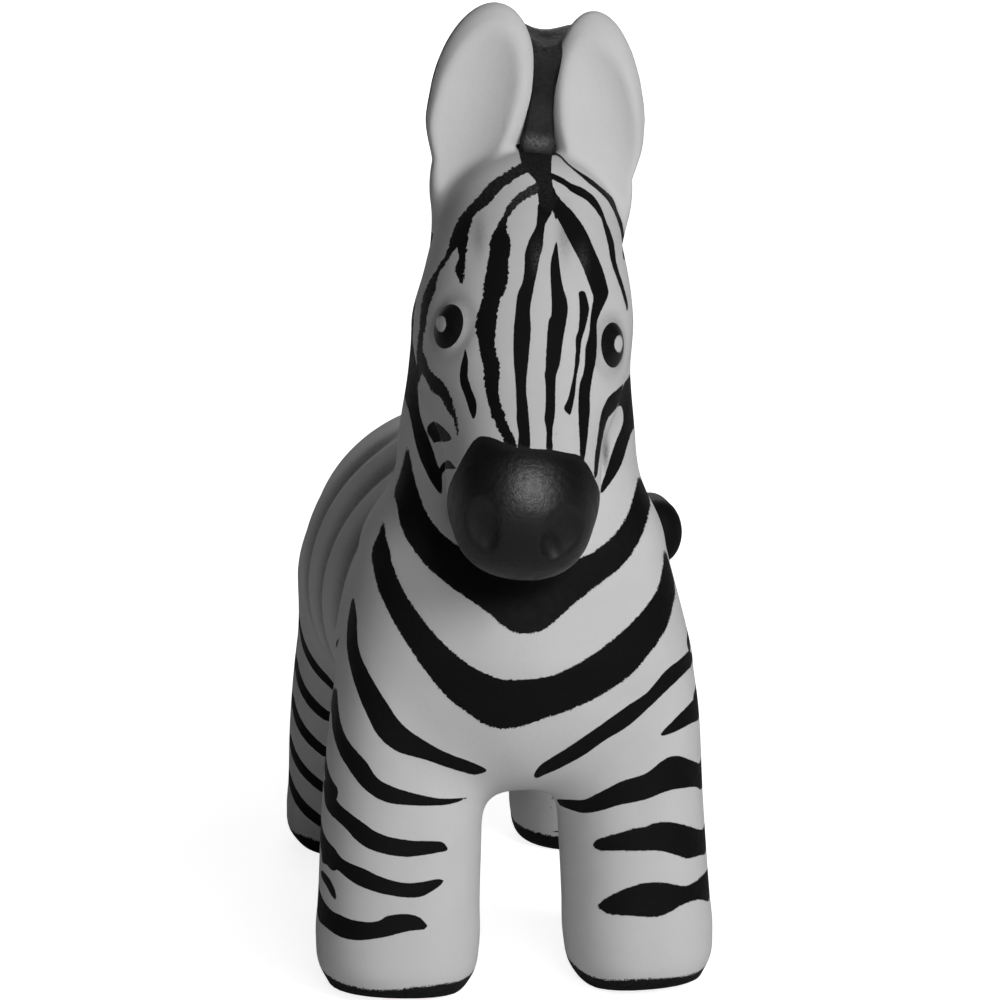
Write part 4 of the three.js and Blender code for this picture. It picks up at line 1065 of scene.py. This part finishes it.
# %% [markdown]
# The whites and blacks are written as the paint's own greys. Real black paint is a few thousandths, and
# a used white a little over a half. Roughness is what tells matt foam, dull stripes and the satin muzzle
# apart, and on no finish is it one flat value.

# %% Coat and stripes
WHITE_DARK, WHITE_LIGHT, SPECK_GREY, MIST_AND_SHADE_GREY = 0.57, 0.64, 0.12, 0.08
BLACK_GREY, DRY_AND_SHEEN_GREY = 0.004, 0.10
EDGE_HALF = 0.04


def painted_skin(name, gloss, pebble_mm):
    """The coat: white and black meet where the stored distance plus noise passes zero; gloss is the
    strength of its reflection, and pebble_mm the height of its orange peel."""
    material, tree, shader = new_material(name)
    way = add(tree, "ShaderNodeSeparateXYZ", {0: stored(tree, "way").outputs["Vector"]})
    distance = calc(tree, "MULTIPLY_ADD", grain(tree, 1.3, 1.0, centred=True), 0.08,
                    stored(tree, "paint").outputs["Fac"])
    ragged = calc(tree, "MULTIPLY", grain(tree, 0.42, 3.0, 0.6, centred=True), way.outputs[1])
    distance = calc(tree, "MULTIPLY_ADD", ragged, 0.7, distance)
    misty = calc(tree, "MULTIPLY", grain(tree, 0.13, 2.0, centred=True), way.outputs[0])
    distance = calc(tree, "MULTIPLY_ADD", misty, 0.9, distance)
    cover = span(tree, distance, EDGE_HALF, -EDGE_HALF)
    white = blend_colour(tree, grain(tree, 7.0, 3.0), grey(WHITE_DARK), grey(WHITE_LIGHT))
    specks = span(tree, grain(tree, 0.55, 0.0), 0.87, 0.90, 0.0, 0.3)
    white = blend_colour(tree, specks, white, grey(SPECK_GREY))
    # Grey on the white: smudges of mist, and painted shade in the flank's rib hollows and round the eyes.
    cloud = span(tree, grain(tree, 0.3, 3.0), 0.2, 0.8, 0.75, 1.2)
    mist_and_shade = calc(tree, "MULTIPLY", stored(tree, "mist_and_shade").outputs["Fac"], cloud)
    white = blend_colour(tree, mist_and_shade, white, grey(MIST_AND_SHADE_GREY))
    # The black greys where dry brushing thins it near the forelock, and in the painted sheen spots.
    dry_and_sheen_streak = calc(tree, "MULTIPLY", way.outputs[2],
                  span(tree, grain(tree, 0.22, 3.0, 0.6), 0.25, 0.80))
    black = blend_colour(tree, dry_and_sheen_streak, grey(BLACK_GREY), grey(DRY_AND_SHEEN_GREY))
    tree.links.new(blend_colour(tree, cover, white, black), shader.inputs["Base Color"])
    matt, dull = uneven(tree, 0.9, 0.56, 0.68), uneven(tree, 0.7, 0.62, 0.74)
    dark = mix(tree, stored(tree, "satin").outputs["Fac"], dull, uneven(tree, 0.5, 0.40, 0.48))
    tree.links.new(mix(tree, cover, matt, dark), shader.inputs["Roughness"])
    peel = calc(tree, "MULTIPLY_ADD", grain(tree, 0.12, 2.0), 0.35, grain(tree, 0.5, 2.0))
    peel = calc(tree, "MULTIPLY_ADD", cover, 0.4, peel)
    pebbled(tree, shader, peel, 0.5, pebble_mm)
    shader.inputs["Specular IOR Level"].default_value = gloss
    return material


coat = painted_skin("foam_coat", 0.10, 0.05)
muzzle_coat = painted_skin("muzzle_coat", 0.35, 0.10)
print("coat:", len(coat.node_tree.nodes), "nodes")

# %% Black paint and eye paint
SHEEN_AND_SPECKS_GREY, EYE_GREY, GLINT_GREY = 0.16, 0.010, 0.55
PAINT_GLOSS = 0.12
mane_paint, tree, shader = new_material("mane_paint")
# The mane's grey is a painted sheen and a painted highlight, with lighter specks.
sheen_and_specks = calc(tree, "MULTIPLY", stored(tree, "sheen_and_specks").outputs["Fac"],
            span(tree, grain(tree, 0.3, 3.0, 0.7), 0.15, 0.75))
tree.links.new(blend_colour(tree, sheen_and_specks, grey(BLACK_GREY), grey(SHEEN_AND_SPECKS_GREY)), shader.inputs["Base Color"])
tree.links.new(uneven(tree, 0.6, 0.52, 0.66), shader.inputs["Roughness"])
height = calc(tree, "MULTIPLY_ADD", grain(tree, 0.15, 2.0), 0.4, grain(tree, 0.6, 2.0))
pebbled(tree, shader, height, 0.7, 0.1)
shader.inputs["Specular IOR Level"].default_value = PAINT_GLOSS

eye_paint, tree, shader = new_material("eye_black")
glint = calc(tree, "MULTIPLY_ADD", grain(tree, 0.5, 1.0, centred=True), 0.15,
             stored(tree, "glint").outputs["Fac"])
lit = span(tree, glint, 0.05, -0.05)
dark = blend_colour(tree, grain(tree, 0.8, 2.0), grey(BLACK_GREY), grey(EYE_GREY))
tree.links.new(blend_colour(tree, lit, dark, grey(GLINT_GREY)), shader.inputs["Base Color"])
tree.links.new(span(tree, grain(tree, 0.5, 2.0), 0.2, 0.8, 0.32, 0.42), shader.inputs["Roughness"])
pebbled(tree, shader, grain(tree, 0.3, 2.0), 0.3, 0.03)
shader.inputs["Specular IOR Level"].default_value = PAINT_GLOSS
print("finishes:", [m.name for m in (coat, muzzle_coat, mane_paint, eye_paint)])

# %% [markdown]
# ## Skin pieces
# A mesh takes whole arrays with foreach_set. The field's slope is the exact normal of the skin, so it is
# given to the mesh as well, which makes the cuts between pieces vanish, because both sides shade alike.

# %% Skin pieces
def make_piece(name, points, faces, material, normals=None, stored_values=()):
    """A mesh object from points in the toy's own millimetres, moved into the shared frame."""
    mesh = bpy.data.meshes.new(name)
    mesh.vertices.add(len(points))
    mesh.vertices.foreach_set("co", ((points + SHIFT) * MM).astype(np.float32).ravel())
    mesh.loops.add(faces.size)
    mesh.loops.foreach_set("vertex_index", faces.astype(np.int32).ravel())
    mesh.polygons.add(len(faces))
    starts = np.arange(0, faces.size, faces.shape[1], dtype=np.int32)
    mesh.polygons.foreach_set("loop_start", starts)
    mesh.update(calc_edges=True)
    mesh.polygons.foreach_set("use_smooth", np.ones(len(faces), dtype=bool))
    for key, kind, field, values in stored_values:
        data = mesh.attributes.new(key, kind, "POINT").data
        data.foreach_set(field, np.asarray(values, np.float32).ravel())
    mesh.validate()
    if normals is not None:
        mesh.normals_split_custom_set_from_vertices(normals.tolist())
    mesh.materials.append(material)
    piece = bpy.data.objects.new(name, mesh)
    bpy.context.scene.collection.objects.link(piece)
    return piece


pieces = {}
for name, (points, faces, normals) in skins.items():
    paint, way, mist_and_shade, satin = painted[name]
    finish = muzzle_coat if name == "muzzle" else coat
    pieces[name] = make_piece(f"{name}_skin", points, faces, finish, normals,
                              [("paint", "FLOAT", "value", paint), ("way", "FLOAT_VECTOR", "vector", way),
                               ("mist_and_shade", "FLOAT", "value", mist_and_shade), ("satin", "FLOAT", "value", satin)])
print("skin pieces:", len(pieces))

# %% [markdown]
# ## Mane
# The mane is a black crest that starts behind the forelock, stands up between the ears and runs down the
# nape. It is a surface between two lines in the head's own upright plane: a crest line, which shows, and
# a root line, which stays in the foam. Each ring is a rounded block that reaches from the one to the
# other, hollowed along its top. Its ends close in a point.

# %% Mane
MANE_CREST = np.array([
    (-5.4, 82.7, 1.9, 1.0), (-4.0, 85.1, 1.75, 1.7), (-2.6, 88.3, 1.35, 2.0), (-2.0, 91.0, 1.3, 2.4),
    (-0.4, 94.5, 2.4, 2.8), (4.0, 96.3, 3.5, 2.9), (8.0, 93.6, 3.0, 2.8), (10.2, 88.5, 2.5, 2.5),
    (10.8, 82.0, 2.4, 2.4), (10.6, 75.0, 2.4, 2.4), (10.2, 68.0, 2.3, 2.4), (9.9, 61.0, 2.1, 2.2),
    (9.4, 55.0, 1.6, 1.6), (8.2, 51.0, 0.8, 0.9)])
MANE_ROOT = np.array([
    (-3.6, 80.6), (-2.6, 80.6), (-1.6, 80.3), (-0.8, 79.9), (0.0, 79.4), (1.2, 78.7), (2.2, 77.6),
    (3.0, 76.0), (3.6, 73.0), (3.9, 69.0), (4.0, 64.5), (4.2, 60.0), (4.5, 55.5), (5.0, 51.5)])
MANE_MIDDLE, MANE_POWER, MANE_END = 0.55, 4.0, 0.03
MANE_HOLLOW, HOLLOW_FULL, HOLLOW_END = 0.5, 0.35, 0.45
MANE_DIP, MANE_TOP_AT, MANE_TOP_LONG = 1.9, 0.25, 0.06
# grey on the mane's black, as share along the crest, spread, amount: a painted sheen near the top,
# lighter specks, and a painted highlight on the ledge above the forelock
MANE_SHEEN_AND_SPECKS = ((0.20, 0.03, 0.32), (0.075, 0.03, 0.10), (0.035, 0.01, 0.9))


def tube_faces(rings, around):
    """Quads between rings of points, in order along and round, as two triangles each."""
    i, j = np.meshgrid(np.arange(rings - 1), np.arange(around), indexing="ij")
    a, b = i * around + j, i * around + (j + 1) % around
    c, d = b + around, a + around
    return np.concatenate([np.stack(f, -1).reshape(-1, 3) for f in ((a, b, c), (a, c, d))])


def with_poles(rings):
    """A closed skin from rings of points: tube faces, and a fan at each end to a point in its middle."""
    count, around = rings.shape[:2]
    points = np.concatenate([rings.reshape(-1, 3), rings[[0, -1]].mean(axis=1)])
    j, k = np.arange(around), (np.arange(around) + 1) % around
    first = np.stack([k, j, np.full(around, count * around)], axis=1)
    last = (count - 1) * around
    second = np.stack([last + j, last + k, np.full(around, count * around + 1)], axis=1)
    return points, np.concatenate([tube_faces(count, around), first, second])


def mane_rings(along=150, around=56):
    """The crest's rings. At a share u of the crest line, the section is a superellipse across and up the
    line from root to crest: half its thickness to the sides, its own half height above its middle, and
    the way down to the root below it, with a hollow in the middle of its top that dips most between the
    ears. Near the ends the section shrinks as a quarter circle does. The second array tells how much grey
    is laid on the black: a painted sheen near the top, lighter specks lower down, and a painted highlight
    along the ledge above the forelock."""
    u = np.linspace(0, 1, along)
    steps = np.linalg.norm(np.diff(MANE_CREST[:, :2], axis=0), axis=1)
    place = np.concatenate([[0], np.cumsum(steps)])
    lines = sections_at(u * place[-1], np.column_stack([place, MANE_CREST, MANE_ROOT]))
    crest, root, (half_wide, half_tall) = lines[:, :2], lines[:, 4:], lines[:, 2:4].T
    tall = np.linalg.norm(crest - root, axis=1)
    out, deep = (crest - root) / tall[:, None], tall - half_tall
    to_end = np.clip(1 - np.minimum(u, 1 - u) / MANE_END, 0, 1)
    end = np.sqrt(np.clip(1 - to_end ** 2, 0.002, 1))
    angle = np.linspace(0, 2 * np.pi, around, endpoint=False)
    flat = (np.abs(np.cos(angle)) ** MANE_POWER
            + np.abs(np.sin(angle)) ** MANE_POWER) ** (-1 / MANE_POWER)
    across, outward = flat * np.cos(angle), flat * np.sin(angle)
    dip = (MANE_HOLLOW * smooth_step(-u, -HOLLOW_END, -HOLLOW_FULL)
           + MANE_DIP * np.exp(-((u - MANE_TOP_AT) / MANE_TOP_LONG) ** 2))
    hollow = dip[:, None] * np.clip(1 - across ** 2, 0, 1) * (outward > 0)
    x = MANE_MIDDLE + (half_wide * end)[:, None] * across
    rise = np.where(outward > 0, half_tall[:, None], deep[:, None]) * outward - hollow
    middle = crest - out * half_tall[:, None]
    y, z = (middle[:, i, None] + out[:, i, None] * rise * end[:, None] for i in (0, 1))
    sheen_and_specks = sum(much * np.exp(-((u - at) / size) ** 2) for at, size, much in MANE_SHEEN_AND_SPECKS)
    return np.stack([x, y, z], axis=-1), sheen_and_specks[:, None] * np.clip(1.1 - across ** 2, 0, 1)


mane, mane_sheen_and_specks = mane_rings()
mane_points, mane_faces = with_poles(tilted(mane))
sheen_and_specks_values = np.append(mane_sheen_and_specks.ravel(), [0, 0])
pieces["mane"] = make_piece("mane_crest", mane_points, mane_faces, mane_paint,
                            stored_values=[("sheen_and_specks", "FLOAT", "value", sheen_and_specks_values)])
print("mane:", len(mane_faces), "triangles, top at", mane_points[:, 2].max().round(2), "mm")

# %% [markdown]
# ## Eyes
# Each eye is a low oval dome of satin black paint on the eyeball's foam, with a small grey catchlight
# painted on its outer side. It is a cap of the same oval as the eyeball, on a grid of distance from the
# middle and angle, lifted a hair off the foam, and closed underneath by a second cap.

# %% Eyes
EYE_CAP = math.radians(57)
EYE_LIFT, EYE_SINK = 0.07, 0.3
GLINTS = {"left": ((12.24, 16.09), (0.41, 0.88)), "right": ((-6.09, 18.16), (0.52, 0.83))}


def eye_rings(hand, rings=24, around=56):
    """Rings of the closed dome: outwards over the top, then back under it. A point is the eyeball's
    centre plus its radii times (sine of the cap angle round the circle, cosine of it outwards)."""
    axes, radii = seen_oval(*EYES[hand])
    centre = np.array(EYES[hand][0]) + axes[2] * BALL_LIFT
    share = np.concatenate([np.linspace(0.02, 1, rings), np.linspace(1, 0.02, rings)])
    grow = np.concatenate([np.linspace(EYE_LIFT, 0.02, rings), np.full(rings, -EYE_SINK)])
    angle = np.linspace(0, 2 * np.pi, around, endpoint=False)
    cap = share * EYE_CAP
    local = np.stack([np.sin(cap)[:, None] * np.cos(angle), np.sin(cap)[:, None] * np.sin(angle),
                      np.repeat(np.cos(cap)[:, None], around, axis=1)], axis=-1)
    local = local * (np.array([*(radii * BALL_GROW), BALL_THICK]) + grow[:, None, None])
    return centre + local @ axes


for hand, _ in HANDS:
    rings = eye_rings(hand)
    points, faces = with_poles(tilted(rings.reshape(-1, 3)).reshape(rings.shape))
    at, size = GLINTS[hand]
    glint = (np.linalg.norm((on_sheet(points) - at) / size, axis=1) - 1) * min(size)
    pieces[f"eye_{hand}"] = make_piece(f"eye_{hand}_paint", points, faces, eye_paint,
                                       stored_values=[("glint", "FLOAT", "value", glint)])
    print(f"eye_{hand}:", len(faces), "triangles")

# %% [markdown]
# ## What moves with what
# Neck, mane, ears and legs keep their places baked into their points and ride on no body; the real neck,
# ears and legs bend, as foam does. Hoofs ride on their legs' bodies, and all other pieces on the torso's
# or the head's. Each piece stands for the solid of the same name.


for name, piece in pieces.items():
    kind = name.split("_")[0]
    if name in ("neck", "mane"):
        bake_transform(piece)
    elif kind == "ear":
        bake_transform(piece)
    elif kind == "leg":
        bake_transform(piece)
    elif kind == "hoof":
        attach(piece, name.replace("hoof", "leg"))
    else:
        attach(piece, "torso" if kind in ("torso", "tail") else "head")
    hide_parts(name)
print("riding:", len(pieces), "pieces")

# %% [markdown]
# ## Floor and light
# A plain pale floor takes the soft shadow, and lightens to white away from the toy. The room is white to
# the camera. In reflections it is white only far behind the toy, and dark elsewhere, so that black paint
# stays black. The main lamp is a broad one at the front, to the toy's left and above, which leaves its
# right side in shade, as in the photograph. A weaker one in front opens the shadows, and one behind
# serves the back, which the photograph doesn't show. The main lamp and the weaker one give light but no
# mirror image, and a small lamp gives only a mirror image: the sheen on the muzzle.

# %% Floor
FLOOR_SIZE, FLOOR_GREY, FLOOR_ROUGH = 4.0, 0.80, 0.9
SHADOW_NEAR, SHADOW_FAR, SHADOW_GLOW = 0.03, 0.10, 0.85
MIRROR_NEAR, MIRROR_FAR = 0.35, 1.2
floor_mesh = bpy.data.meshes.new("floor")
corners = np.array([(-1, -1, 0), (1, -1, 0), (1, 1, 0), (-1, 1, 0)]) * FLOOR_SIZE / 2
floor_mesh.from_pydata(corners.tolist(), [], [(0, 1, 2, 3)])
floor = bpy.data.objects.new("floor", floor_mesh)
bpy.context.scene.collection.objects.link(floor)
floor_paper, tree, shader = new_material("floor_paper")
shader.inputs["Base Color"].default_value = grey(FLOOR_GREY)
shader.inputs["Roughness"].default_value = FLOOR_ROUGH
shader.inputs["Specular IOR Level"].default_value = 0.0
coords = add(tree, "ShaderNodeTexCoord").outputs["Object"]
away = add(tree, "ShaderNodeVectorMath", {0: coords}, operation="LENGTH").outputs["Value"]
path = add(tree, "ShaderNodeLightPath")
mirrored = calc(tree, "MAXIMUM", path.outputs["Is Glossy Ray"], path.outputs["Is Transmission Ray"])
seen = calc(tree, "MULTIPLY", path.outputs["Is Camera Ray"],
            span(tree, away, SHADOW_NEAR, SHADOW_FAR, SHADOW_GLOW, 1.0))
glow = calc(tree, "MULTIPLY_ADD", mirrored, span(tree, away, MIRROR_NEAR, MIRROR_FAR), seen)
paper_glow = add(tree, "ShaderNodeEmission", {"Color": grey(1.0), "Strength": glow})
shown = add(tree, "ShaderNodeAddShader", {0: shader.outputs["BSDF"], 1: paper_glow.outputs["Emission"]})
tree.links.new(shown.outputs[0], tree.nodes["Material Output"].inputs["Surface"])
floor_mesh.materials.append(floor_paper)
floor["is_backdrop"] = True
print("floor:", FLOOR_SIZE, "m square")

# %% Light
ROOM_LIGHT, DARK_ROOM = 0.02, 0.05
BACKDROP_FROM, BACKDROP_FULL = 0.80, 0.95
world = bpy.data.worlds.new("studio")
bpy.context.scene.world = world
world.use_nodes = True
tree = world.node_tree
path = add(tree, "ShaderNodeLightPath")
way_out = add(tree, "ShaderNodeSeparateXYZ", {0: add(tree, "ShaderNodeTexCoord").outputs["Generated"]})
backdrop = span(tree, way_out.outputs["Y"], BACKDROP_FROM, BACKDROP_FULL, DARK_ROOM, 1.0)
mirrored = calc(tree, "MAXIMUM", path.outputs["Is Glossy Ray"], path.outputs["Is Transmission Ray"])
mirrored = calc(tree, "MULTIPLY", mirrored, backdrop)
shown = calc(tree, "MAXIMUM", path.outputs["Is Camera Ray"], mirrored)
strength = calc(tree, "MAXIMUM", shown, ROOM_LIGHT)
tree.links.new(strength, tree.nodes["Background"].inputs["Strength"])
tree.nodes["Background"].inputs["Color"].default_value = grey(1.0)

LAMP_AIM = np.array([0.0, 0.0, 0.05])


def soft_lamp(name, turn_deg, rise_deg, away, size, watts):
    """A square lamp on a sphere round the toy, facing it; turn is to the toy's left from its front."""
    turn_by, rise = math.radians(turn_deg), math.radians(rise_deg)
    back = np.array([math.sin(turn_by) * math.cos(rise), -math.cos(turn_by) * math.cos(rise),
                     math.sin(rise)])
    right = unit(np.cross((0, 0, 1), back))
    data = bpy.data.lights.new(name, "AREA")
    data.energy, data.size = watts, size
    lamp = bpy.data.objects.new(name, data)
    placed = np.eye(4)
    placed[:3, :3] = np.stack([right, np.cross(back, right), back], axis=1)
    placed[:3, 3] = LAMP_AIM + back * away
    lamp.matrix_world = Matrix(placed.tolist())
    bpy.context.scene.collection.objects.link(lamp)
    return lamp


key_lamp = soft_lamp("key_lamp", 38, 30, 0.9, 0.35, 4.3)
sheen_lamp = soft_lamp("sheen_lamp", 9.7, 30, 0.9, 0.18, 6.5)
front_lamp = soft_lamp("front_lamp", 6, 20, 0.9, 0.35, 1.95)
back_lamp = soft_lamp("back_lamp", 175, 20, 1.0, 0.5, 2.0)
key_lamp.visible_glossy = front_lamp.visible_glossy = False
sheen_lamp.visible_diffuse = False
lamps = [key_lamp, sheen_lamp, front_lamp, back_lamp]
print("lamps:", [(lamp.name, round(lamp.data.energy, 2)) for lamp in lamps])

# %% [markdown]
# ## Size and finish
# Both boxes, the CAD model's and the dressed toy's, are printed side by side. The dressed toy has
# to keep to the CAD model's box.

# %% Finish
visual_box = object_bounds()
boxes = {"cad": [[float(v) for v in corner] for corner in cad_box], "visual": [[float(v) for v in corner] for corner in visual_box]}
print("CAD box, mm:", np.round(np.array(boxes["cad"]) / MM, 2).tolist())
print("visual box, mm:", np.round(np.array(boxes["visual"]) / MM, 2).tolist())
